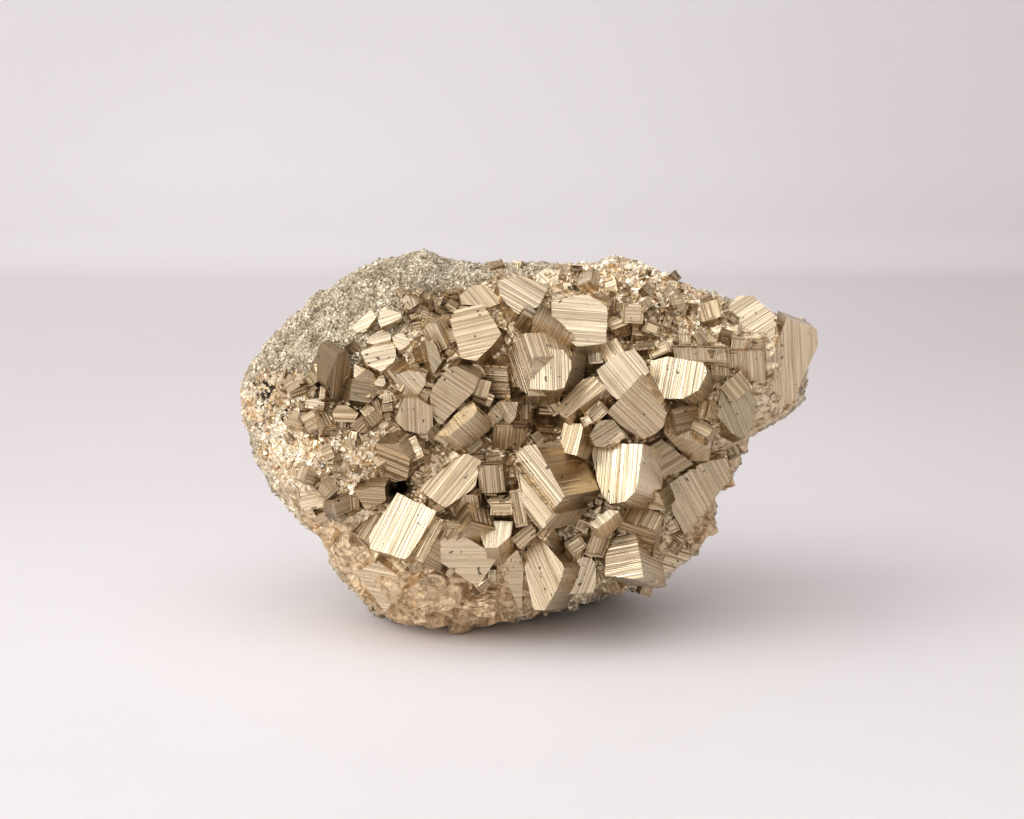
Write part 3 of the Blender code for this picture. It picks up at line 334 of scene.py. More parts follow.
    Crystal(15.0, -23.0, (-1.6, -4.6), (3.2, -0.6), "down", 2.6),
    Crystal(22.4, -18.6, (1.6, 3.0), (6.4, -2.2), "up", 3.8),
    Crystal(25.8, -19.6, (1.9, 3.3), (1.8, -1.6), "right", 3.4),
    Crystal(28.6, -21.6, (2.4, -1.4), (0.9, 1.2), "up", 2.0),
    Crystal(28.6, -25.0, (5.2, -1.6), (1.6, 4.4), "down", 2.4, outline=(
        (27.0, -22.7), (29.8, -23.4), (31.2, -25.3), (29.4, -27.2), (26.0, -27.9), (25.8, -26.4),
    )),
    Crystal(19.2, -25.4, (6.2, 1.2), (0.4, -8.4), "left", 5.2, 0.82, outline=(
        (16.3, -22.8), (20.8, -20.4), (21.6, -22.4), (22.7, -29.0), (15.9, -30.0),
    )),
    Crystal(11.1, -23.4, (2.6, 1.7), (1.6, -2.1), "right", 3.2),
    Crystal(11.6, -28.9, (-2.4, -6.4), (5.2, -1.8), "down", 4.2, 1.25, outline=(
        (9.4, -25.4), (13.3, -25.4), (15.4, -27.4), (14.0, -31.7), (8.9, -32.0), (8.1, -29.0),
    )),
    Crystal(4.8, -28.9, (4.2, -9.8), (4.8, 2.5), "left", 5.6, 1.8, outline=(
        (1.6, -26.4), (3.9, -22.0), (6.8, -23.0), (9.0, -27.4), (8.1, -30.6), (5.4, -35.3), (3.8, -34.6),
    )),
    # The great cube and what leans on it
    Crystal(5.3, -12.0, (7.1, -8.9), (-2.9, -3.5), "left", 8.0, 2.31, 11.0, outline=(
        (0.2, -9.5), (2.0, -6.3), (4.0, -6.0), (9.5, -14.5), (6.0, -18.8),
    )),
    Crystal(2.7, -15.1, (7.1, -8.9), (-2.4, -2.8), "left", 7.2, 2.83, 10.0, (0.0, 0.57, 0.0, 0.0)),
    Crystal(1.1, -17.0, (1.2, -6.2), (2.0, 0.4), "left", 5.6),
    Crystal(2.3, -21.9, (3.2, 2.6), (1.5, -1.9), "down", 4.5),
    Crystal(5.6, -21.2, (1.4, 2.0), (1.6, -1.0), "left", 5.2),
    Crystal(-3.6, -12.0, (0.5, -4.7), (4.4, 0.2), "down", 3.0),
    Crystal(-1.8, -16.5, (3.8, 0.1), (0.2, 3.4), "up", 2.6),
    Crystal(-8.0, -16.9, (0.7, -4.4), (4.6, -0.2), "down", 2.4),
    Crystal(-5.4, -18.2, (0.8, -3.4), (4.0, -1.0), "up", 3.4),
    Crystal(-7.8, -14.2, (4.6, 0.3), (-0.2, 1.2), "up", 2.4),
    Crystal(-3.1, -21.5, (-0.6, -4.6), (5.7, -0.3), "up", 4.3, outline=(
        (-5.9, -19.7), (-4.4, -19.1), (0.1, -19.4), (-0.1, -21.4), (-1.6, -23.9), (-5.9, -24.0),
    )),
    Crystal(-9.0, -20.1, (5.4, -0.5), (0.4, -1.7), "up", 3.4, 2.7),
)

# Broken blocks of the massive foot and smooth plates of the rim, in the same terms
BLOCKS = (
    Crystal(-8.6, -25.4, (9.0, 0.0), (0.0, 9.0), "down", 1.9, 0.86, 5.0, outline=(
        (-13.6, -20.8), (-11.0, -20.5), (-5.4, -21.8), (-2.2, -23.8), (-2.8, -27.6), (-5.6, -30.2),
        (-10.4, -30.0), (-14.2, -27.6),
    )),
    Crystal(0.4, -30.0, (8.0, 0.0), (0.0, 8.0), "down", 1.6, 0.75, 5.0, outline=(
        (-1.8, -25.0), (1.0, -24.4), (2.6, -28.5), (4.2, -34.0), (1.6, -35.4), (-1.4, -34.0), (-2.4, -29.5),
    )),
    Crystal(-22.6, -30.8, (8.0, -1.6), (-1.6, 8.0), "down", 1.2, 1.0, 5.0, outline=(
        (-27.0, -28.2), (-23.4, -26.2), (-18.6, -28.2), (-18.2, -30.8), (-18.6, -34.0), (-22.0, -35.0),
        (-25.8, -32.4),
    )),
    Crystal(48.0, 9.4, (0.6, -12.0), (8.0, 0.6), "right", 3.2, 1.5, outline=(
        (45.8, 16.0), (50.2, 15.7), (52.8, 13.8), (52.9, 9.8), (50.5, 3.0), (48.5, 0.7), (43.6, 4.4),
        (44.2, 10.4),
    )),
    Crystal(-7.2, -32.4, (8.4, -1.4), (1.0, 3.4), "up", -0.6, 2.3, 3.0),
    Crystal(-1.0, -25.6, (3.6, 1.0), (-0.5, 4.4), "down", 1.2, 0.0, 5.0),
    Crystal(-23.0, -32.4, (5.0, -2.0), (1.4, 2.4), "down", -0.4, 1.9, 3.0),
    Crystal(-16.6, -33.4, (5.6, -1.2), (0.7, 2.2), "down", -0.8, 2.4, 2.5),
    Crystal(-29.4, -24.4, (3.0, -3.6), (2.4, 2.0), "left", 0.8, 0.0, 4.0),
    Crystal(33.0, -19.4, (2.4, -5.0), (3.0, 2.0), "right", 0.9, 0.0, 5.0),
    Crystal(36.6, -11.4, (1.6, -4.2), (3.0, 1.2), "right", 0.8, 0.0, 5.0),
    Crystal(47.2, 1.0, (3.4, 1.6), (-0.8, 2.4), "down", 0.8, 0.0, 4.0),
    Crystal(-43.6, 0.4, (1.0, 4.6), (2.6, -0.6), "left", 0.6, 0.0, 4.0),
    Crystal(-38.6, 0.8, (5.4, -4.0), (1.4, 1.8), "down", 0.7, 0.0, 4.0),
)

# Small cubes scattered over the granular parts: across, up, half width, half height, how many
GRAIN_FIELDS = (
    (-31.0, -8.0, 6.0, 4.0, 8),
    (25.0, 20.5, 6.0, 3.5, 8),
    (11.0, 22.5, 3.0, 2.0, 4),
    (33.0, 17.0, 4.0, 2.5, 4),
    (20.0, -30.0, 4.0, 1.2, 3),
    (0.0, 16.5, 5.0, 1.5, 3),
    (22.0, -10.0, 4.0, 8.0, 4),
    (36.0, 4.0, 4.0, 2.0, 4),
)
GRAIN_EDGE = (1.3, 2.2)
GRAIN_SEED = 7
GRAIN_SUNK = 0.2

# Feet of the hidden underside: across, towards the viewer, radius, drop
FEET = (
    (10.0, -20.0, 15.0, 7.0),
    (-12.0, -8.0, 12.0, 2.0),
)

# Detail that only the looks have, in millimetres
MASS_DETAIL = 7
FRONT_EDGE = 0.18
STRIP_WIDTH = 0.95
MOST_STRIPS = 13
STRIP_SHARES = (0.35, 2.0)  # the narrowest strip of a face, and how much wider one may be
STRIP_RISE = 0.16
STRIP_LEAN = math.radians(3.5)
STRIP_ROOT = 0.40
MOST_RELIEF = 0.12
RIM_DROP = 0.10
FINE_STRIP = 0.5
FINE_LEAN = 3.0
SHORT_STRIPS = 0.22  # share of the strips of a main face that end short of its edge
SHORT_BY = (0.04, 0.18)
FEW_STRIPS = 5  # faces with no more strips than this have none that end short
CHIP_BIAS = 0.4
FACE_CHIP = 0.16
SLICE_CHIP = 0.14
SMOOTH_RELIEF = 0.3
CORE_INSET = 0.30
MOST_INSET = 0.7
MAP_SPREAD = 300.0  # range of the places that crystals take on the striation map
MAP_STEP = 17.0
MAP_SLANT = 0.37
SLICE_EASE = 0.06
CHIPPED_LENGTH = 0.5
CHIP_SEED = 3
# Painted shade added to the tone of each crystal down by its root
ROOT_SHADE = 1.1
BLOCK_CUTS = 11

# Flat tilted grains of the broken surfaces: size, rise, lean
LARGE_GRAINS = (3.6, 0.30, 0.9)
SMALL_GRAINS = (1.3, 0.36, 1.0)
TINY_GRAINS = (0.75, 0.40, 1.0)
BLOCK_GRAINS = (2.6, 0.16, 0.5)
BLOCK_CHIPS = (1.0, 0.2, 0.8)
PIT_SIZE = 1.5
PIT_LEVEL = 0.28
BLOCK_PIT_SIZE = 1.2
BLOCK_PIT_LEVEL = 0.3
HIGHEST_RELIEF = 0.9
BACK_FADE = 4.0  # depth over which the druse of the back thins out

# How some main faces look, by the middle of the crystal; the others vary at random. The looks paint in part
# each face's own tone and in part the light and shade that it shows: the lightest are painted highlight,
# the darkest painted shade.
FACE_LOOKS = {
    (-34.0, 1.1): "white", (-40.2, 5.6): "white", (-33.1, 7.4): "white", (-31.2, 9.3): "white",
    (-25.4, 15.6): "white", (-21.2, 16.0): "white", (-22.9, 12.5): "white", (-18.8, 12.1): "white",
    (-13.5, 12.8): "white", (-26.7, 6.9): "white", (-22.8, 5.2): "white", (-9.2, -1.7): "white",
    (-29.7, 5.8): "painted_shade", (-20.8, -8.8): "brown", (-29.3, -1.0): "brown", (-26.2, -2.8): "brown",
    (-34.5, 5.4): "brown", (-27.4, 10.2): "brown", (-25.5, 4.2): "tan", (-23.0, 9.6): "white",
    (-24.8, -15.2): "brown", (-28.8, -16.7): "brown", (-34.8, -15.0): "smooth", (-32.8, 3.1): "pale",
    (-14.1, 8.8): "smooth", (-17.1, 4.9): "pale", (-17.0, -1.2): "tan", (-10.3, 3.0): "tan",
    (-13.6, -4.4): "brown", (-7.0, -5.6): "brown", (-10.6, -12.6): "tan", (-7.8, -14.2): "painted_shade",
    (-1.8, -16.5): "brown", (-19.3, -20.2): "pale", (-3.1, -21.5): "white", (-9.0, -20.1): "white",
    (-6.0, 19.6): "tan", (-6.3, 13.6): "tan", (1.4, 19.8): "pale", (6.4, 23.1): "white",
    (11.6, 15.6): "pale", (6.6, 12.6): "tan", (16.9, 21.4): "tan", (20.9, 16.6): "tan",
    (18.4, 13.4): "painted_shade", (23.2, 11.2): "painted_shade", (25.4, 10.3): "tan", (36.7, 12.1): "painted_shade",
    (35.9, 8.2): "brown", (34.8, 18.0): "brown", (1.0, 6.4): "smooth", (6.8, 6.8): "pale",
    (12.9, -1.9): "white", (10.2, -4.7): "tan", (19.6, 6.3): "pale", (21.8, -0.2): "tan",
    (28.9, 5.3): "pale", (30.4, -6.1): "smooth", (26.3, -9.1): "brown", (18.5, -11.0): "white",
    (32.2, -14.4): "plain", (23.4, -15.8): "brown", (15.7, -18.7): "white",
    (19.2, -25.4): "pale", (4.8, -28.9): "plain", (5.3, -12.0): "pale", (2.7, -15.1): "pale",
    (15.0, -23.0): "tan", (11.6, -28.9): "pale", (38.9, -0.9): "plain", (40.8, 15.9): "pale",
    (48.0, 9.4): "smooth", (-8.6, -25.4): "smooth", (0.4, -30.0): "smooth", (-22.6, -30.8): "smooth",
}
# Each look as a shade, from white metal at 0 by brass at 1 to brown at 2, and how strong its lines are
LOOK_TONES = {
    "white": (0.0, 0.2), "pale": (0.2, 0.5), "plain": (0.7, 0.3), "smooth": (0.65, 0.0),
    "tan": (0.85, 0.55), "brown": (1.3, 0.8), "painted_shade": (2.5, 0.6),
}

# Parts of the mass with a surface of their own: across, up, half width, half height, strength. Each
# is full out to about its half sizes and fades beyond them, and none reaches round to the back.
PATCH_FADE = (2.0, 1.4)
PATCH_DEPTH = (6.0, 1.6)
FINE_DRUSE = (
    (-33.0, 15.0, 15.0, 9.0, 1.0),
    (-16.0, 25.0, 13.0, 5.0, 1.0),
    (-44.0, 2.0, 7.0, 14.0, 0.8),
    (2.0, 26.0, 9.0, 3.0, 0.7),
    (43.0, 18.0, 8.0, 2.5, 0.8),
)
GLITTER = (
    (-33.0, -7.0, 9.0, 5.5, 1.0),
    (-28.5, -11.4, 3.2, 3.2, 1.0),
    (-19.0, 9.0, 2.8, 2.2, 0.8),
)
BROKEN = (
    (-13.0, -31.0, 17.0, 8.5, 1.0),
    (-31.0, -24.0, 6.0, 9.0, 0.8),
    (34.0, -18.0, 5.0, 9.0, 0.7),
    (40.0, -8.0, 4.0, 6.0, 0.7),
)
# Painted shade: dark cracks and a pocket of the mass, and a wide faint patch that dims the left flank
PAINTED_SHADE_PATCHES = (
    (-41.6, 3.4, 2.4, 1.6, 1.0),
    (-40.0, 1.2, 2.8, 1.2, 0.9),
    (-37.4, -0.8, 2.8, 1.2, 0.9),
    (-33.4, -11.4, 1.8, 1.2, 1.0),
    (-19.6, -12.8, 2.2, 1.4, 1.0),
    (-40.5, 1.0, 6.0, 7.0, 0.35),
)
PITTED = (
    (22.0, 20.5, 10.0, 7.5, 1.0),
    (27.5, 16.0, 5.5, 5.0, 1.0),
    (-39.0, 0.5, 7.0, 5.5, 0.8),
    (11.0, 23.0, 3.5, 2.5, 0.8),
    (32.0, 18.0, 4.0, 3.0, 0.6),
)

# Small crystals are left out near the outline and where the fine druse is this strong
FILLER_REACH = 0.93
FILLER_DRUSE = 0.4
# Small crystals wedged between the large ones: across, up, half width, half height, how many, edges
FILLERS = (
    (0.0, 0.0, 40.0, 18.0, 110, 1.4, 3.4),
    (-30.0, 3.0, 10.0, 8.0, 40, 0.9, 2.0),
    (8.0, -22.0, 26.0, 7.0, 50, 1.0, 2.4),
    (-14.0, 18.0, 6.0, 3.5, 24, 0.8, 1.8),
    (2.0, 24.0, 8.0, 2.0, 20, 0.8, 1.8),
    (24.0, 19.0, 8.0, 6.0, 40, 0.8, 2.0),
    (38.0, 17.0, 6.0, 2.0, 16, 0.8, 1.6),
)

# Inputs of the druse: name, kind and value when nothing is given
DRUSE_INPUTS = (
    ("Density", "Float", 5.0),
    ("Smallest", "Float", 0.35),
    ("Largest", "Float", 0.8),
    ("Seed", "Int", 11),
    ("Where", "String", "fine"),
    ("Finish", "Material", None),
)

# Coats of druse: name, where, grains to the square millimetre, smallest and largest edge, seed, finish
DRUSE = (
    ("fine_druse", "fine", 7.4, 0.20, 0.48, 11, "dusty"),
    ("glitter_druse", "glitter", 6.0, 0.30, 0.80, 12, "bright"),
    ("lump_druse", "pitted", 3.0, 0.25, 0.80, 13, "bright"),
    ("back_druse", "hidden", 1.2, 0.40, 1.00, 14, "dusty"),
)

# Colours of the metal, from pale to near black
PALE = (0.86, 0.73, 0.53, 1.0)
GLINT = (0.95, 0.85, 0.66, 1.0)
TAN = (0.79, 0.60, 0.39, 1.0)
BRASSY = (0.62, 0.475, 0.30, 1.0)
DUSTY = (0.74, 0.66, 0.52, 1.0)
GREYED = (0.50, 0.42, 0.30, 1.0)
BROWN = (0.24, 0.155, 0.075, 1.0)
# The brown of painted shade, at the roots of crystals and on the darkest faces
PAINTED_SHADE_BROWN = (0.17, 0.125, 0.07, 1.0)
NEAR_BLACK = (0.035, 0.028, 0.02, 1.0)

# Sockets of a Mix node that blends colours
MIX_SHARE, MIX_LOW, MIX_HIGH, MIX_RESULT = 0, 6, 7, 2

# The stage, in metres
SWEEP_BACK = 0.375
SWEEP_CURVE = 0.014
SWEEP_REACH = 2.5
SWEEP_TOP = 2.5
SWEEP_COLOUR = (0.95, 0.93, 0.94, 1.0)
# The darkest colour of the sweep, towards which its painted shade and a faint mottle turn it
SWEEP_FOOT = (0.50, 0.46, 0.47, 1.0)
SWEEP_ROUGHNESS = 0.6
# The sweep from front to back, up to the foot of its curve: back, up, and painted shade added along it,
# darker towards the back
SWEEP_PROFILE = (
    (-0.5, 0.0, 0.0), (-0.14, 0.0, 0.0),
    *((0.02 * step, 0.0, 0.04 * (step + 5)) for step in range(-5, 3)),
    (0.07, 0.0, 0.5), (0.1, 0.0, 0.7), (0.25, 0.0, 1.05),
)
CURVE_STEPS = 16
# The wall: back, up, and painted shade added along it
WALL_PROFILE = ((SWEEP_BACK, 0.03, 0.05), (SWEEP_BACK, 0.07, 0.17), (SWEEP_BACK, SWEEP_TOP, 0.2))
# The sweep from left to right: across, and painted shade added there, darker towards the right
SWEEP_COLUMNS = (
    (-SWEEP_REACH, 0.0), (-0.16, 0.0), (-0.09, 0.0), (-0.06, 0.0), (-0.03, 0.0), (0.0, 0.0),
    (0.03, 0.03), (0.06, 0.1), (0.09, 0.27), (0.16, 0.52), (SWEEP_REACH, 0.3),
)
SWEEP_LEAST = 0.245
SWEEP_ADDED = 0.4
# Painted light and shadow of the sweep, a lighter patch in front of the specimen and a shadow to its right:
# across, back, half width, half depth, added shade
SWEEP_PATCHES = (
    (-0.01, -0.03, 0.05, 0.04, -0.32),
    (0.06, 0.01, 0.03, 0.04, 0.19),
)
# The room: its shade, and the directions in which it turns lighter or darker
ROOM_SHADE = (0.79, 0.775, 0.78, 1.0)
ROOM = (
    ((-0.45, -0.15, 0.87), 0.25, 0.92, (1.60, 1.57, 1.56, 1.0)),
    ((-0.95, 0.10, 0.30), 0.50, 0.95, (1.70, 1.67, 1.65, 1.0)),
    ((0.9, -0.4, -0.1), 0.4, 1.0, (0.30, 0.285, 0.28, 1.0)),
)
LIGHTS = (
    ("window", (-0.95, -0.52, 0.66), (0.8, 0.8), 3.2, (1.0, 0.985, 0.98)),
)
LIGHT_AIM = Vector((0.0, 0.0, 0.03))
LENS = 100.0  # millimetres
SENSOR_WIDTH = 36.0  # millimetres
CLIP_START = 0.01


def between(low, high):
    """A random number of a range."""
    return low + noise.random() * (high - low)


def around(middle, half):
    """A random number within half a width of the middle."""
    return middle + (noise.random() * 2.0 - 1.0) * half


def within(value, limit):
    """The value, held to a limit on either side of zero."""
    return max(-limit, min(limit, value))


def random_turn():
    """A matrix that turns a cube at random."""
    return noise.random_unit_vector().to_track_quat("Z", "X").to_matrix().to_4x4()


def add_object(name, data):
    """A new object in the scene."""
    thing = bpy.data.objects.new(name, data)
    bpy.context.scene.collection.objects.link(thing)
    return thing


def read_points(mesh):
    """The points of a mesh, one to a row."""
    points = np.empty(len(mesh.vertices) * 3)
    mesh.vertices.foreach_get("co", points)
    return points.reshape(-1, 3)


def keep_numbers(mesh, name, values):
    """Keep a number for each point of a mesh."""
    layer = mesh.attributes.new(name, "FLOAT", "POINT")
    layer.data.foreach_set("value", values)


def outline_radius(angle):
    """Distance from the middle of the mass to its silhouette in one direction."""
    way = Vector((math.cos(angle), math.sin(angle)))
    best = 0.0
    for start, end in zip(OUTLINE, OUTLINE[1:] + OUTLINE[:1]):
        start = Vector(start) - MASS_MIDDLE
        edge = Vector(end) - MASS_MIDDLE - start
        turn = way.x * edge.y - way.y * edge.x
        if abs(turn) < 1e-9:
            continue
        reach = (start.x * edge.y - start.y * edge.x) / turn
        along = (start.x * way.y - start.y * way.x) / turn
        if reach > 0.0 and -1e-6 <= along <= 1.0 + 1e-6:
            best = max(best, reach)
    return best * RIM_EASE


def swell(across, up):
    """Added height of the front at one place."""
    total = 0.0
    for x, y, radius, height in SWELLS:
        apart = ((across - x) ** 2 + (up - y) ** 2) / radius**2
        total += height * math.exp(-SWELL_FALL * apart)
    return total


def front_share(across, up):
    """How far out a place is, from 0 in the middle of the mass to 1 on its outline."""
    place = Vector((across, up)) - MASS_MIDDLE
    return place.length / outline_radius(math.atan2(place.y, place.x))


def front_height(across, up):
    """How far the front of the mass stands towards the viewer at one place."""
    share = min(front_share(across, up), RIM_SHARE)
    return FRONT_DEPTH * (1.0 - share**ROUNDNESS) ** (1.0 / ROUNDNESS) + swell(across, up)


def crystal_frame(crystal):
    """Edges and outward way of a cube, from how its main face looks in the view."""
    stripe = Vector(crystal.stripe)
    side = Vector(crystal.side)
    lean = -stripe.dot(side)
    towards = LOOKS[crystal.looks]
    if crystal.ratio:
        ratio = crystal.ratio
    else:
        along = abs(stripe.normalized().dot(towards)) > abs(side.normalized().dot(towards))
        ratio = (stripe.length / side.length) ** SQUARENESS * (FAIR_LEAN if along else 1.0 / FAIR_LEAN)
    excess = ratio**2 * side.length_squared - stripe.length_squared
    root = math.sqrt(excess**2 + (2.0 * ratio * lean) ** 2)
    stripe_depth = math.sqrt(max(0.0, (excess + root) / 2.0))
    side_depth = math.sqrt(max(0.0, (root - excess) / 2.0)) / ratio
    if lean < 0.0:
        side_depth = -side_depth
    for sign in (1.0, -1.0):
        long = Vector((stripe.x, stripe.y, sign * stripe_depth))
        wide = Vector((side.x, side.y, sign * side_depth))
        out = long.cross(wide).normalized()
        if out.z < 0.0:
            out = -out
        if out.xy.dot(towards) > 0.0:
            break
    return long, wide, out


def crystal_matrix(crystal):
    """Place and size of a unit cube that becomes the crystal, drawn face-on."""
    long, wide, out = crystal_frame(crystal)
    height = front_height(crystal.across, crystal.up) + crystal.proud
    nearer = 1.0 - height / SIGHT_DISTANCE
    seen = Vector((crystal.across, crystal.up, 0.0))
    face = Vector((seen.x * nearer, seen.y * nearer, height))
    sight = Vector((-seen.x, -seen.y, SIGHT_DISTANCE)).normalized()
    turn = Vector((0.0, 0.0, 1.0)).rotation_difference(sight).to_matrix()
    long = turn @ long * nearer
    wide = turn @ wide * nearer
    out = turn @ out
    mean = (long.length + wide.length) / 2.0
    deep = crystal.deep or max(FAIR_DEPTH * mean, (crystal.proud + ROOTED) / out.z)
    middle = face - out * deep / 2.0
    third = out * deep
    return Matrix((
        (long.x, wide.x, third.x, middle.x),
        (long.y, wide.y, third.y, middle.y),
        (long.z, wide.z, third.z, middle.z),
        (0.0, 0.0, 0.0, 1.0),
    ))


def crystal_rings(crystal):
    """Corners of the main face of an outlined crystal, and of its root, drawn face-on."""
    matrix = crystal_matrix(crystal)
    root = -matrix.col[2].xyz
    middle = matrix.translation - root / 2.0
    eye = Vector((0.0, 0.0, SIGHT_DISTANCE))
    ring = []
    for across, up in crystal.outline:
        sight = Vector((across, up, 0.0)) - eye
        ring.append(eye + sight * ((middle - eye).dot(root) / sight.dot(root)))
    return ring, [corner + root for corner in ring]


def grain_matrices():
    """Places of the small cubes of the granular parts."""
    noise.seed_set(GRAIN_SEED)
    found = []
    for x, y, half_width, half_height, count in GRAIN_FIELDS:
        for _ in range(count):
            across = around(x, half_width)
            up = around(y, half_height)
            edge = between(*GRAIN_EDGE)
            turn = random_turn()
            height = front_height(across, up)
            place = Matrix.Translation((across, up, height - GRAIN_SUNK * edge))
            found.append(place @ turn @ Matrix.Scale(edge, 4))
    return found


def patch_weight(points, patches):
    """How much each face-on point belongs to a group of patches of the front."""
    weight = np.zeros(len(points))
    for x, y, half_width, half_height, strength in patches:
        apart = ((points[:, 0] - x) / half_width) ** 2 + ((points[:, 1] - y) / half_height) ** 2
        share = np.clip(PATCH_FADE[0] - apart * PATCH_FADE[1], 0.0, 1.0)
        weight = np.maximum(weight, strength * share)
    return weight * np.clip(points[:, 2] / PATCH_DEPTH[0] + PATCH_DEPTH[1], 0.0, 1.0)


def outline_table():
    """Reach of the mass at even steps of angle."""
    angles = np.linspace(-math.pi, math.pi, 1441)
    return angles, np.array([outline_radius(angle) for angle in angles])


def mass_points(ways):
    """Points of the mass in the given directions of a unit sphere, drawn face-on."""
    angles, reaches = outline_table()
    flat = np.hypot(ways[:, 0], ways[:, 1])
    depth = np.where(ways[:, 2] > 0.0, FRONT_DEPTH, BACK_DEPTH)
    share = flat ** (2.0 / ROUNDNESS)
    height = np.sign(ways[:, 2]) * np.abs(ways[:, 2]) ** (2.0 / ROUNDNESS)
    reach = share * np.interp(np.arctan2(ways[:, 1], ways[:, 0]), angles, reaches)
    turn = ways[:, :2] / np.maximum(flat, 1e-9)[:, None]
    spot = np.empty_like(ways)
    spot[:, :2] = np.array(MASS_MIDDLE) + turn * reach[:, None]
    spot[:, 2] = height * depth
    for x, y, radius, rise in SWELLS:
        apart = ((spot[:, 0] - x) ** 2 + (spot[:, 1] - y) ** 2) / radius**2
        spot[:, 2] += rise * np.exp(-SWELL_FALL * apart) * np.sqrt(np.maximum(ways[:, 2], 0.0))
    down = np.array((0.0, -math.cos(TIP_BACK), -math.sin(TIP_BACK)))
    for x, z, radius, drop in FEET:
        apart = ((spot[:, 0] - x) ** 2 + (spot[:, 2] - z) ** 2) / radius**2
        low = np.clip(-2.0 * ways[:, 1], 0.0, 1.0)
        spot += down * (drop * np.exp(-SWELL_FALL * apart) * low)[:, None]
    rough = np.array([noise.fractal(Vector(p) / ROUGH_SIZE, 0.8, 2.0, 3) for p in spot])
    return spot + ways * ((rough - 0.3) * ROUGH_HEIGHT)[:, None]


def block_relief(points, size, rise, lean):
    """Relief of a surface broken into flat tilted grains of one size."""
    relief = np.empty(len(points))
    for index, point in enumerate(points):
        place = Vector(point) / size
        seed = noise.voronoi(place)[1][0]
        chance = noise.cell_vector(seed * 37.0)
        tilt = noise.cell_vector(seed * 53.0 + Vector((9.0, 4.0, 2.0))) - Vector((0.5, 0.5, 0.5))
        relief[index] = rise * (chance.x - 0.5) + lean * (place - seed).dot(tilt)
    return relief * size


def pit_noise(points, size):
    """Soft noise whose peaks are the pits of a surface."""
    return np.array([noise.noise(Vector(point) / size) for point in points])


def build_mass():
    """The granular and broken mass that the crystals grow out of."""
    work = bmesh.new()
    bmesh.ops.create_icosphere(work, subdivisions=MASS_DETAIL, radius=1.0)
    front = [e for e in work.edges if min(v.co.z for v in e.verts) > FRONT_EDGE]
    bmesh.ops.subdivide_edges(work, edges=front, cuts=1, use_grid_fill=True)
    bmesh.ops.triangulate(work, faces=work.faces[:])
    mesh = bpy.data.meshes.new("massive_pyrite")
    work.to_mesh(mesh)
    work.free()
    ways = read_points(mesh)
    ways /= np.linalg.norm(ways, axis=1)[:, None]
    points = mass_points(ways)
    fine = patch_weight(points, FINE_DRUSE)
    glitter = patch_weight(points, GLITTER)
    broken = patch_weight(points, BROKEN)
    pitted = patch_weight(points, PITTED)
    # Where the mass is painted dark as shade, the fine and glittering druse give way
    painted_shade = patch_weight(points, PAINTED_SHADE_PATCHES)
    fine, glitter = fine * (1.0 - painted_shade), glitter * (1.0 - painted_shade)
    plain = np.clip(1.0 - fine - glitter - broken - pitted, 0.0, 1.0)
    # The offsets keep the grains of the three sizes from following one another
    large = block_relief(points, *LARGE_GRAINS)
    small = block_relief(points + 40.0, *SMALL_GRAINS)
    tiny = block_relief(points + 90.0, *TINY_GRAINS)
    pits = pit_noise(points, PIT_SIZE)
    relief = large * (broken + 0.35 * plain + 0.2 * pitted)
    relief += tiny * (0.8 * fine + 0.4 * plain + 0.3 * glitter + 0.3 * pitted)
    relief += small * (0.2 * fine + glitter + 0.35 * broken + 0.9 * pitted + 0.7 * plain)
    relief -= np.clip(pits - PIT_LEVEL, 0.0, 0.4) * (3.6 * pitted + 1.5 * plain + broken + 1.2 * fine)
    points += ways * np.minimum(relief, HIGHEST_RELIEF)[:, None]
    mesh.vertices.foreach_set("co", points.ravel())
    shares = {"fine": fine, "glitter": glitter, "broken": broken, "pitted": pitted, "painted_shade": painted_shade}
    for name, values in shares.items():
        keep_numbers(mesh, name, values)
    hidden = np.clip(-read_points(mesh)[:, 2] / BACK_FADE + 1.0, 0.0, 1.0)
    keep_numbers(mesh, "hidden", hidden)
    return add_object(mesh.name, mesh)


class Boxes:
    """Closed six-sided blocks gathered into one mesh, with a striation map and a tone."""

    QUADS = ((0, 3, 2, 1), (4, 5, 6, 7), (0, 1, 5, 4), (1, 2, 6, 5), (2, 3, 7, 6), (3, 0, 4, 7))

    def __init__(self):
        self.points = []
        self.maps = []
        self.tones = []

    def add(self, corners, lines, tone, shaded_root_tone=None):
        """Eight corners, the inner four first, and for each its place across and along the stripes."""
        one, two, far, up = (corners[i] for i in (0, 1, 3, 4))
        order = range(8)
        if (two - one).cross(far - one).dot(up - one) < 0.0:
            order = (0, 3, 2, 1, 4, 7, 6, 5)
        self.points += [tuple(corners[i]) for i in order]
        self.maps += [lines[i] for i in order]
        # The inner four corners take the root's tone, painted darker as shade
        self.tones += [shaded_root_tone or tone] * 4 + [tone] * 4

    def mesh(self, name):
        """All the blocks as one mesh."""
        count = len(self.tones) // 8
        quads = [tuple(8 * block + i for i in quad) for block in range(count) for quad in self.QUADS]
        mesh = bpy.data.meshes.new(name)
        mesh.from_pydata(self.points, [], quads)
        across = mesh.uv_layers.new(name="stripes")
        across.data.foreach_set("uv", np.array([self.maps[i] for quad in quads for i in quad]).ravel())
        tones = np.array(self.tones)
        for column, word in enumerate(("tone", "contrast")):
            keep_numbers(mesh, word, tones[:, column].copy())
        return add_object(name, mesh)


def cube_corners(matrix, trim=(0.0, 0.0, 0.0, 0.0)):
    """Corners of a trimmed unit cube carried by a matrix, by their three signs."""
    found = {}
    for x in (-1, 1):
        for y in (-1, 1):
            for z in (-1, 1):
                cut = trim[int(y > 0)] if x < 0 else -trim[2 + int(y > 0)]
                found[x, y, z] = matrix @ Vector((x / 2.0 + cut, y / 2.0, z / 2.0))
    return found


# Corners of a cube by their signs, in rings, the inner one first
CUBE_CORNERS = [(x, y, z) for z in (-1, 1) for x, y in ((-1, -1), (1, -1), (1, 1), (-1, 1))]
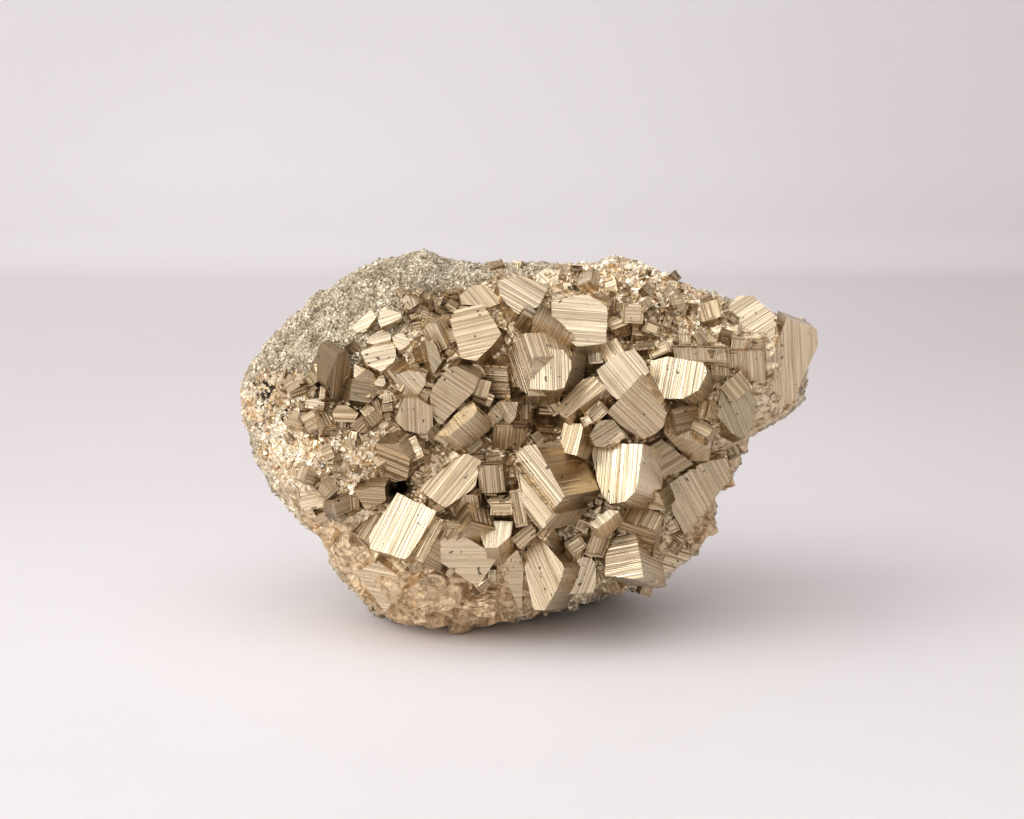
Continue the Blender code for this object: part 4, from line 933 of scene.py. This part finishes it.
# Each face of a cube as its fixed axis and sign, the axis that its stripes follow and the axis across
FACES = ((2, 1, 0, 1), (0, 1, 1, 2), (0, -1, 1, 2), (1, 1, 2, 0), (1, -1, 2, 0))


def strip_count(wide, fewest):
    """How many strips a face of one width has."""
    return max(fewest, min(MOST_STRIPS, round(wide / STRIP_WIDTH)))


def strip_bounds(count):
    """Where strips of random widths begin and end, as shares of the whole."""
    narrowest, wider = STRIP_SHARES
    shares = np.array([narrowest + noise.random() ** 2 * wider for _ in range(count)])
    return np.concatenate(([0.0], np.cumsum(shares) / shares.sum()))


def striated_face(boxes, corners, face, tone, shift, main):
    """Cover one face of a crystal with strips that stand at slightly different heights and leans."""
    fixed, sign, along, across = face

    def corner(s, t):
        key = [0, 0, 0]
        key[fixed], key[along], key[across] = sign, s, t
        return corners[tuple(key)]

    a, b, c, d = corner(-1, -1), corner(1, -1), corner(1, 1), corner(-1, 1)
    out = (b - a).cross(d - a) + (c - b).cross(d - c)
    centre = (a + b + c + d) / 4.0
    inside = sum(corners.values(), Vector()) / 8.0
    out.normalize()
    if out.dot(centre - inside) < 0.0:
        out = -out
    wide = ((d - a).length + (c - b).length) / 2.0
    long = ((b - a).length + (c - d).length) / 2.0
    count = strip_count(wide, 2)
    bounds = strip_bounds(count)
    height = 0.0
    for index in range(count):
        t0, t1 = bounds[index], bounds[index + 1]
        height = within(height + (noise.random() - 0.5) * STRIP_RISE, MOST_RELIEF)
        rim = RIM_DROP * (index in (0, count - 1)) * noise.random()
        narrow = (t1 - t0) * wide
        lean = (noise.random() - 0.5) * 2.0 * STRIP_LEAN * narrow
        if narrow < FINE_STRIP and noise.random() < 0.5:
            lean *= FINE_LEAN
        lean = within(lean, MOST_RELIEF)
        s0 = (noise.random() - CHIP_BIAS) * FACE_CHIP / long
        s1 = 1.0 - (noise.random() - CHIP_BIAS) * FACE_CHIP / long
        if main and count > FEW_STRIPS and noise.random() < SHORT_STRIPS:
            if noise.random() < 0.5:
                s0 = between(*SHORT_BY)
            else:
                s1 = 1.0 - between(*SHORT_BY)
        spots, lines = [], []
        for level in (-STRIP_ROOT, 1.0):
            for s, t in ((s0, t0), (s1, t0), (s1, t1), (s0, t1)):
                base = a.lerp(b, s).lerp(d.lerp(c, s), t)
                top = height - rim + (lean / 2.0 if t == t1 else -lean / 2.0)
                spots.append(base + out * (level if level < 0.0 else top))
                lines.append((t * wide + shift, s * long + shift * MAP_SLANT))
        boxes.add(spots, lines, tone, painted_root_shade(tone))


def painted_root_shade(tone):
    """The tone of a crystal down by its root, painted darker as shade where it goes into the mass."""
    return tone[0] + ROOT_SHADE, tone[1]


def striated_crystal(boxes, matrix, trim=(0.0, 0.0, 0.0, 0.0), look=None):
    """One cube with striations on its five outer faces."""
    tone = (0.6 + 0.8 * noise.random(), 0.3 + 0.7 * noise.random())
    # Without a look, the main face is painted lighter than the side faces: painted light on the face turned
    # out, painted shade on the sides
    main = LOOK_TONES[look] if look else (tone[0] - 0.4, tone[1])
    shift = noise.random() * MAP_SPREAD
    corners = cube_corners(matrix, trim)
    sizes = [matrix.col[axis].length for axis in range(3)]
    inset = Matrix.Diagonal([1.0 - min(MOST_INSET, 2.0 * CORE_INSET / size) for size in sizes] + [1.0])
    core = cube_corners(matrix @ inset, trim)
    spots = [core[key] for key in CUBE_CORNERS]
    boxes.add(spots, [(shift, shift)] * 8, tone)
    for index, face in enumerate(FACES):
        shade = main if index == 0 else tone
        striated_face(boxes, corners, face, shade, shift + MAP_STEP * index, index == 0)


def span(ring, level):
    """Where a line at one level crosses a flat outline: its two ends."""
    ends = []
    for (x0, y0), (x1, y1) in zip(ring, ring[1:] + ring[:1]):
        if (y0 - level) * (y1 - level) <= 0.0 and y0 != y1:
            ends.append(x0 + (x1 - x0) * (level - y0) / (y1 - y0))
    return min(ends), max(ends)


def striated_slices(boxes, crystal, look):
    """An outlined crystal, as slices along its stripes that stand at slightly different heights."""
    tone = LOOK_TONES[look] if look else (0.2 + 0.8 * noise.random(), 0.3 + 0.7 * noise.random())
    shift = noise.random() * MAP_SPREAD
    ring, root = crystal_rings(crystal)
    out = ring[0] - root[0]
    deep = out.length
    out.normalize()
    along = crystal_matrix(crystal).col[0].xyz.normalized()
    across = out.cross(along)
    middle = sum(ring, Vector()) / len(ring)
    flat = [((corner - middle).dot(along), (corner - middle).dot(across)) for corner in ring]
    low, high = min(t for _, t in flat), max(t for _, t in flat)
    wide = high - low
    count = 2 if look == "smooth" else strip_count(wide, 3)
    relief = SMOOTH_RELIEF if look == "smooth" else 1.0
    bounds = low + wide * strip_bounds(count)
    height = 0.0
    for index in range(count):
        height = within(height + (noise.random() - 0.5) * STRIP_RISE * relief, MOST_RELIEF)
        narrow = bounds[index + 1] - bounds[index]
        lean = within((noise.random() - 0.5) * 2.0 * STRIP_LEAN * narrow, MOST_RELIEF) * relief
        chips = [(noise.random() - CHIP_BIAS) * SLICE_CHIP for _ in range(2)]
        ends = []
        for side in (0, 1):
            t = bounds[index + side]
            start, stop = span(flat, min(max(t, low + SLICE_EASE), high - SLICE_EASE))
            if stop - start > CHIPPED_LENGTH:
                start, stop = start + chips[0], stop - chips[1]
            ends.append((start, stop, t, height + lean * (side - 0.5)))
        spots, lines = [], []
        for level in (-deep, 0.0):
            for side, end in ((0, 0), (0, 1), (1, 1), (1, 0)):
                s, t, top = ends[side][end], ends[side][2], ends[side][3]
                rise = level if level else top
                spots.append(middle + along * s + across * t + out * rise)
                turned = (side * 2 - 1) * deep * (level < 0.0) * (index + side in (0, count))
                lines.append((t + turned + shift, s + shift * MAP_SLANT))
        boxes.add(spots, lines, tone, painted_root_shade(tone))


def build_blocks():
    """The broken blocks that have no outline, at the foot and the rim, with chipped faces; the outlined
    blocks and plates are drawn as striated slices.
    """
    work = bmesh.new()
    for crystal in BLOCKS:
        if crystal.outline:
            continue
        corners = cube_corners(crystal_matrix(crystal), crystal.trim)
        made = [work.verts.new(corners[key]) for key in CUBE_CORNERS]
        for quad in Boxes.QUADS:
            work.faces.new([made[i] for i in quad])
    bmesh.ops.recalc_face_normals(work, faces=work.faces[:])
    bmesh.ops.subdivide_edges(work, edges=work.edges[:], cuts=BLOCK_CUTS, use_grid_fill=True)
    bmesh.ops.triangulate(work, faces=work.faces[:])
    work.normal_update()
    ways = np.array([vertex.normal[:] for vertex in work.verts])
    points = np.array([vertex.co[:] for vertex in work.verts])
    relief = block_relief(points, *BLOCK_GRAINS) + block_relief(points + 40.0, *BLOCK_CHIPS)
    relief -= np.clip(pit_noise(points, BLOCK_PIT_SIZE) - BLOCK_PIT_LEVEL, 0.0, 0.4) * 1.2
    points += ways * (np.clip(relief, -0.6, 0.35))[:, None]
    for vertex, point in zip(work.verts, points):
        vertex.co = point
    mesh = bpy.data.meshes.new("broken_blocks")
    work.to_mesh(mesh)
    work.free()
    keep_numbers(mesh, "broken", np.ones(len(points)))
    return add_object(mesh.name, mesh)


def build_crystals():
    """The large striated cubes, and the small ones of the granular parts and the gaps."""
    noise.seed_set(CHIP_SEED)
    large = Boxes()
    for crystal in CRYSTALS + BLOCKS:
        look = FACE_LOOKS.get((crystal.across, crystal.up))
        if crystal.outline:
            striated_slices(large, crystal, look)
        elif crystal in CRYSTALS:
            striated_crystal(large, crystal_matrix(crystal), crystal.trim, look)
    small = Boxes()
    for matrix in grain_matrices():
        middle = matrix.translation
        if patch_weight(np.array([middle[:]]), FINE_DRUSE)[0] < 0.5:
            striated_crystal(small, matrix)
    for x, y, half_width, half_height, count, low, high in FILLERS:
        for _ in range(count):
            across = around(x, half_width)
            up = around(y, half_height)
            edge = between(low, high)
            height = front_height(across, up)
            fine = patch_weight(np.array([(across, up, height)]), FINE_DRUSE)[0]
            if front_share(across, up) > FILLER_REACH or fine > FILLER_DRUSE:
                continue
            turn = random_turn()
            stretch = Matrix.Diagonal((1.0, 0.7 + 0.5 * noise.random(), 0.8 + 0.5 * noise.random(), 1.0))
            place = Matrix.Translation((across, up, height + 0.1 * edge))
            striated_crystal(small, place @ turn @ Matrix.Scale(edge, 4) @ stretch)
    return large.mesh("striated_crystals"), small.mesh("small_crystals")


class Wire:
    """A value in a shader, on which arithmetic adds Math nodes."""

    def __init__(self, finish, socket):
        self.finish = finish
        self.socket = socket

    def _math(self, operation, *values):
        inputs = dict(enumerate(values))
        return self.finish.node("ShaderNodeMath", {"operation": operation}, inputs)

    def __add__(self, other):
        return self._math("ADD", self, other)

    def __radd__(self, other):
        return self._math("ADD", other, self)

    def __sub__(self, other):
        return self._math("SUBTRACT", self, other)

    def __rsub__(self, other):
        return self._math("SUBTRACT", other, self)

    def __mul__(self, other):
        return self._math("MULTIPLY", self, other)

    def __rmul__(self, other):
        return self._math("MULTIPLY", other, self)

    def step(self, low, high):
        """0 below low, 1 above high and smooth between them."""
        settings = {"interpolation_type": "SMOOTHSTEP"}
        return self.finish.node("ShaderNodeMapRange", settings, {0: self, 1: low, 2: high})


class Finish:
    """A procedural finish, built up node by node."""

    def __init__(self, name):
        self.material = bpy.data.materials.new(name)
        self.material.use_nodes = True
        self.nodes = self.material.node_tree.nodes
        self.links = self.material.node_tree.links
        self.surface = self.nodes["Principled BSDF"]

    def node(self, kind, settings=None, inputs=None, output=0):
        """One node with its settings, then its inputs as values or wires."""
        made = self.nodes.new(kind)
        for key, value in (settings or {}).items():
            setattr(made, key, value)
        for key, value in (inputs or {}).items():
            self.feed(made.inputs[key], value)
        return Wire(self, made.outputs[output])

    def feed(self, socket, value):
        """A value or a wire into a socket."""
        if isinstance(value, Wire):
            self.links.new(value.socket, socket)
        else:
            socket.default_value = value

    def attribute(self, name):
        """A number kept on the mesh."""
        return self.node("ShaderNodeAttribute", {"attribute_name": name}, output="Fac")

    def place(self):
        """The point on the object, in metres."""
        return self.node("ShaderNodeTexCoord", output="Object")

    def scaled(self, vector, across, along=None):
        """A place or map times one number, or by one across and another along; more makes finer noise."""
        by = (across, across if along is None else along, across)
        return self.vector("MULTIPLY", {0: vector, 1: by})

    def grain(self, vector, detail=3.0, rough=0.5):
        """Soft noise between 0 and 1."""
        inputs = {"Vector": vector, "Scale": 1.0, "Detail": detail, "Roughness": rough}
        return self.node("ShaderNodeTexNoise", None, inputs)

    def cells(self, vector, output="Color"):
        """Random cells."""
        return self.node("ShaderNodeTexVoronoi", None, {"Vector": vector, "Scale": 1.0}, output)

    def blend(self, share, low, high):
        """A colour between two."""
        inputs = {MIX_SHARE: share, MIX_LOW: low, MIX_HIGH: high}
        return self.node("ShaderNodeMix", {"data_type": "RGBA"}, inputs, MIX_RESULT)

    def vector(self, operation, inputs):
        """One step of vector arithmetic."""
        return self.node("ShaderNodeVectorMath", {"operation": operation}, inputs)

    def glint(self, chance, amount):
        """The surface's normal turned from grain to grain, by a random colour."""
        centred = self.vector("SUBTRACT", {0: chance, 1: (0.5, 0.5, 0.5)})
        turned = self.vector("SCALE", {0: centred, "Scale": amount})
        straight = self.node("ShaderNodeNewGeometry", output="Normal")
        return self.vector("NORMALIZE", {0: self.vector("ADD", {0: straight, 1: turned})})

    def bump(self, height, distance, normal=None):
        """A bumped normal, its distance in metres."""
        inputs = {"Height": height, "Distance": distance, "Strength": 1.0}
        if normal is not None:
            inputs["Normal"] = normal
        return self.node("ShaderNodeBump", None, inputs)

    def done(self, surface):
        """Feed the surface, and return the material."""
        for name, value in surface.items():
            self.feed(self.surface.inputs[name], value)
        return self.material

    def metal(self, colour, roughness, normal):
        """Feed a metal surface, and return the material."""
        surface = {"Base Color": colour, "Roughness": roughness, "Normal": normal, "Metallic": 1.0}
        return self.done(surface)


def striated_finish():
    """Mirror-like metal, ruled with fine growth lines across each face."""
    f = Finish("striated_pyrite")
    lines = f.node("ShaderNodeUVMap", {"uv_map": "stripes"})
    tone = f.attribute("tone")
    contrast = f.attribute("contrast")
    broad = f.grain(f.scaled(lines, 0.7, 0.004), 1.0)
    medium = f.grain(f.scaled(lines, 2.3, 0.012), 1.0)
    fine = f.grain(f.scaled(lines, 6.0, 0.05), 1.0)
    place = f.place()
    cloud = f.grain(f.scaled(place, 260.0), 3.0)
    spots = f.grain(f.scaled(place, 900.0), 1.0).step(0.70, 0.76)
    strength = 0.15 + contrast * 0.85
    bands = broad.step(0.42, 0.62)
    grooves = medium.step(0.53, 0.60)
    hairs = fine.step(0.50, 0.62)
    colour = f.blend(tone * 0.8 + cloud.step(0.5, 0.75) * 0.25, PALE, BRASSY)
    # Tones above 1 turn towards a dark brown: painted shade of the roots, the sides and the darkest looks,
    # with a little random tone
    colour = f.blend((tone - 1.0).step(0.0, 1.0) * 0.8, colour, PAINTED_SHADE_BROWN)
    colour = f.blend(bands * strength * 0.45, colour, BRASSY)
    colour = f.blend(hairs * strength * 0.45, colour, BROWN)
    colour = f.blend(grooves * strength * 0.8, colour, BROWN)
    colour = f.blend(spots * 0.8, colour, NEAR_BLACK)
    terraces = medium.step(0.40, 0.46) + medium.step(0.53, 0.58) * 0.8 + hairs * 0.35 + bands
    normal = f.bump(terraces, 0.00006)
    roughness = 0.17 + cloud * 0.12 + grooves * 0.15 + tone * 0.05
    return f.metal(colour, roughness, normal)


def granular_finish():
    """Metal grains that glitter, with pits painted near black as their shade, patches of painted shade, and
    duller broken faces.
    """
    f = Finish("granular_pyrite")
    place = f.place()
    fine = f.attribute("fine")
    glitter = f.attribute("glitter")
    broken = f.attribute("broken")
    pitted = f.attribute("pitted")
    small = f.cells(f.scaled(place, 1500.0))
    large = f.cells(f.scaled(place, 520.0))
    mixed = f.blend(0.5, small, large)
    cloud = f.grain(f.scaled(place, 230.0), 4.0)
    speck = f.grain(f.scaled(place, 1000.0), 3.0, 0.6)
    # Dark specks of the pits between the grains: painted shade
    pits = speck.step(0.60, 0.68) * (0.35 + 0.55 * fine + 0.6 * pitted + 0.3 * glitter - 0.2 * broken)
    worn = cloud.step(0.35, 0.7)
    colour = f.blend(worn, PALE, BRASSY)
    colour = f.blend(fine, colour, f.blend(worn, DUSTY, GREYED))
    colour = f.blend(broken * 0.7, colour, TAN)
    colour = f.blend(speck.step(0.45, 0.6) * 0.5, colour, BROWN)
    colour = f.blend(pits, colour, NEAR_BLACK)
    # The patches of painted shade, darkened towards near black
    colour = f.blend(f.attribute("painted_shade") * (0.5 + speck), colour, NEAR_BLACK)
    amount = 0.5 + 0.1 * fine + 0.7 * glitter - 0.3 * broken + 0.1 * pitted
    normal = f.glint(mixed, amount)
    normal = f.bump(speck * 0.6 + cloud * 0.4, 0.0004, normal)
    roughness = 0.30 + cloud * 0.15 + broken * 0.18 + pits * 0.3 + fine * 0.2
    return f.metal(colour, roughness, normal)


def grain_finish(name, pale, dull, roughness):
    """Small cubes of the druse."""
    f = Finish(name)
    place = f.place()
    cloud = f.grain(f.scaled(place, 350.0), 3.0)
    speck = f.grain(f.scaled(place, 1500.0), 2.0)
    colour = f.blend(cloud.step(0.4, 0.65), pale, dull)
    colour = f.blend(speck.step(0.57, 0.66) * 0.6, colour, NEAR_BLACK)
    rough = roughness + cloud * 0.15
    return f.metal(colour, rough, f.bump(speck, 0.0002))


def druse_tree():
    """Geometry that strews small turned cubes over the mass, and the identifiers of its inputs."""
    tree = bpy.data.node_groups.new("druse", "GeometryNodeTree")
    face = tree.interface
    face.new_socket("Geometry", in_out="INPUT", socket_type="NodeSocketGeometry")
    named = {}
    for name, kind, value in DRUSE_INPUTS:
        socket = face.new_socket(name, in_out="INPUT", socket_type="NodeSocket" + kind)
        if value is not None:
            socket.default_value = value
        named[name] = socket.identifier
    face.new_socket("Geometry", in_out="OUTPUT", socket_type="NodeSocketGeometry")

    def add(kind, **settings):
        made = tree.nodes.new(kind)
        for key, value in settings.items():
            setattr(made, key, value)
        return made

    given = add("NodeGroupInput")
    where = add("GeometryNodeInputNamedAttribute", data_type="FLOAT")
    dense = add("ShaderNodeMath", operation="MULTIPLY")
    strew = add("GeometryNodeDistributePointsOnFaces", distribute_method="RANDOM")
    size = add("FunctionNodeRandomValue", data_type="FLOAT")
    turn = add("FunctionNodeRandomValue", data_type="FLOAT_VECTOR")
    turn.inputs[1].default_value = (math.tau, math.tau, math.tau)
    cube = add("GeometryNodeMeshCube")
    cube.inputs["Size"].default_value = (1.0, 1.0, 1.0)
    place = add("GeometryNodeInstanceOnPoints")
    real = add("GeometryNodeRealizeInstances")
    coat = add("GeometryNodeSetMaterial")
    for start, output, end, entry in (
        (given, "Where", where, "Name"),
        (given, "Density", dense, 0),
        (where, "Attribute", dense, 1),
        (given, "Geometry", strew, "Mesh"),
        (dense, 0, strew, "Density"),
        (given, "Seed", strew, "Seed"),
        (given, "Smallest", size, 2),
        (given, "Largest", size, 3),
        (given, "Seed", size, "Seed"),
        (given, "Seed", turn, "Seed"),
        (strew, "Points", place, "Points"),
        (cube, "Mesh", place, "Instance"),
        (turn, "Value", place, "Rotation"),
        (size, 1, place, "Scale"),
        (place, "Instances", real, "Geometry"),
        (given, "Finish", coat, "Material"),
        (real, "Geometry", coat, "Geometry"),
        (coat, "Geometry", add("NodeGroupOutput"), "Geometry"),
    ):
        tree.links.new(start.outputs[output], end.inputs[entry])
    return tree, named


def build_druse(mass):
    """Small cubes over each granular part, each coat a piece of its own."""
    tree, named = druse_tree()
    finishes = {
        "dusty": grain_finish("dusty_grains", DUSTY, GREYED, 0.42),
        "bright": grain_finish("bright_grains", GLINT, TAN, 0.2),
    }
    made = []
    for name, where, density, smallest, largest, seed, finish in DRUSE:
        coat = add_object(name, mass.data)
        strewn = coat.modifiers.new("strewn", "NODES")
        strewn.node_group = tree
        given = (density, smallest, largest, seed, where, finishes[finish])
        for (word, _, _), value in zip(DRUSE_INPUTS, given):
            strewn[named[word]] = value
        evaluated = coat.evaluated_get(bpy.context.evaluated_depsgraph_get())
        mesh = bpy.data.meshes.new_from_object(evaluated)
        coat.modifiers.clear()
        coat.data = mesh
        mesh.name = name
        made.append(coat)
    return made


def stand_up(thing, stand):
    """Carry a piece from the face-on drawing to its place, and keep it above the ground."""
    mesh = thing.data
    points = read_points(mesh)
    turn = np.array(stand)
    points = points @ turn[:3, :3].T + turn[:3, 3]
    points[:, 2] = np.maximum(points[:, 2], 0.0)
    mesh.vertices.foreach_set("co", (points * MM).ravel())
    mesh.update()


def sweep_finish():
    """Matt paint, a little darker towards the foot of the wall and unseen from behind, with painted light
    and shade from its shade attribute.
    """
    f = Finish("sweep_paint")
    cloud = f.grain(f.scaled(f.place(), 3.0), 2.0)
    shade = f.blend(f.attribute("shade"), SWEEP_COLOUR, SWEEP_FOOT)
    shade = f.blend(cloud.step(0.4, 0.6) * 0.15, shade, SWEEP_FOOT)
    shown = 1.0 - f.node("ShaderNodeNewGeometry", output="Backfacing")
    return f.done({"Base Color": shade, "Roughness": SWEEP_ROUGHNESS, "Alpha": shown})


def sweep_profile():
    """The sweep from its front edge to the top of its wall: back, up, and added painted shade."""
    profile = [(SWEEP_BACK - SWEEP_REACH, 0.0, 0.0), *SWEEP_PROFILE]
    for step in range(CURVE_STEPS + 1):
        turn = math.radians(90.0) * step / CURVE_STEPS
        profile.append((
            SWEEP_BACK - SWEEP_CURVE + SWEEP_CURVE * math.sin(turn),
            SWEEP_CURVE - SWEEP_CURVE * math.cos(turn),
            1.05 + 0.05 * math.sin(2.0 * turn) - 0.85 * (step / CURVE_STEPS) ** 2,
        ))
    return profile + list(WALL_PROFILE)


def sweep_shade(x, y, added):
    """How dark the sweep is painted at one place, with its painted light and shadow."""
    shade = SWEEP_LEAST + SWEEP_ADDED * added
    for across, back, half_width, half_depth, strength in SWEEP_PATCHES:
        apart = ((x - across) / half_width) ** 2 + ((y - back) / half_depth) ** 2
        shade += strength * math.exp(-apart)
    return shade


def build_sweep():
    """A pale sweep of table and wall."""
    profile = sweep_profile()
    wide = len(SWEEP_COLUMNS)
    points = [(x, y, z) for y, z, _ in profile for x, _ in SWEEP_COLUMNS]
    shades = [sweep_shade(x, y, shade + more) for y, _, shade in profile for x, more in SWEEP_COLUMNS]
    quads = [
        (row * wide + i, row * wide + i + 1, (row + 1) * wide + i + 1, (row + 1) * wide + i)
        for row in range(len(profile) - 1) for i in range(wide - 1)
    ]
    mesh = bpy.data.meshes.new("sweep")
    mesh.from_pydata(points, [], quads)
    mesh.shade_smooth()
    keep_numbers(mesh, "shade", shades)
    mesh.materials.append(sweep_finish())
    sweep = add_object("sweep", mesh)


def build_room():
    """The light that comes from all around, lighter or darker by its direction."""
    world = bpy.data.worlds.new("room")
    bpy.context.scene.world = world
    world.use_nodes = True
    nodes, links = world.node_tree.nodes, world.node_tree.links
    back = nodes["Background"]
    back.inputs["Strength"].default_value = 1.0
    way = nodes.new("ShaderNodeTexCoord")
    colour = None
    for direction, low, high, shade in ROOM:
        toward = nodes.new("ShaderNodeVectorMath")
        toward.operation = "DOT_PRODUCT"
        toward.inputs[1].default_value = Vector(direction).normalized()
        links.new(way.outputs["Generated"], toward.inputs[0])
        spread = nodes.new("ShaderNodeMapRange")
        spread.interpolation_type = "SMOOTHSTEP"
        spread.inputs[1].default_value, spread.inputs[2].default_value = low, high
        links.new(toward.outputs["Value"], spread.inputs[0])
        mix = nodes.new("ShaderNodeMix")
        mix.data_type = "RGBA"
        links.new(spread.outputs[0], mix.inputs[MIX_SHARE])
        if colour is None:
            mix.inputs[MIX_LOW].default_value = ROOM_SHADE
        else:
            links.new(colour, mix.inputs[MIX_LOW])
        mix.inputs[MIX_HIGH].default_value = shade
        colour = mix.outputs[MIX_RESULT]
    links.new(colour, back.inputs["Color"])


def build_lights():
    """Soft light from the front left."""
    for name, place, size, power, tint in LIGHTS:
        lamp = bpy.data.lights.new(name, "AREA")
        lamp.shape = "RECTANGLE"
        lamp.size, lamp.size_y = size
        lamp.energy = power
        lamp.color = tint
        thing = add_object(name, lamp)
        thing.location = place
        thing.rotation_euler = (LIGHT_AIM - Vector(place)).to_track_quat("-Z", "Y").to_euler()


def build_camera(stand):
    """The camera, which looks straight at the face-on drawing."""
    lens = bpy.data.cameras.new("camera")
    lens.lens = LENS
    lens.sensor_width = SENSOR_WIDTH
    lens.clip_start = CLIP_START
    camera = add_object("camera", lens)
    eye = stand @ Vector((0.0, 0.0, SIGHT_DISTANCE)) * MM
    camera.matrix_world = Matrix.Translation(eye) @ stand.to_3x3().to_4x4()
    bpy.context.scene.camera = camera
    bpy.context.scene.view_settings.view_transform = "Standard"


def main():
    """Build every piece and the stage, and note the size."""
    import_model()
    stand = Matrix.Translation((-ORIGIN_ACROSS, -ORIGIN_BACK, -REST_LEVEL))
    stand = stand @ Matrix.Rotation(math.radians(90.0) - TIP_BACK, 4, "X")

    mass = build_mass()
    blocks = build_blocks()
    large, small = build_crystals()
    grains = build_druse(mass)
    for pieces, finish in (((mass, blocks), granular_finish()), ((large, small), striated_finish())):
        for piece in pieces:
            piece.data.materials.append(finish)
    for piece in [mass, blocks, large, small, *grains]:
        stand_up(piece, stand)
        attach(piece, "root")
        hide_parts("pyrite_specimen")
        print("piece", piece.name, len(piece.data.polygons))
    build_sweep()
    build_room()
    build_lights()
    build_camera(stand)

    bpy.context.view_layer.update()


main()
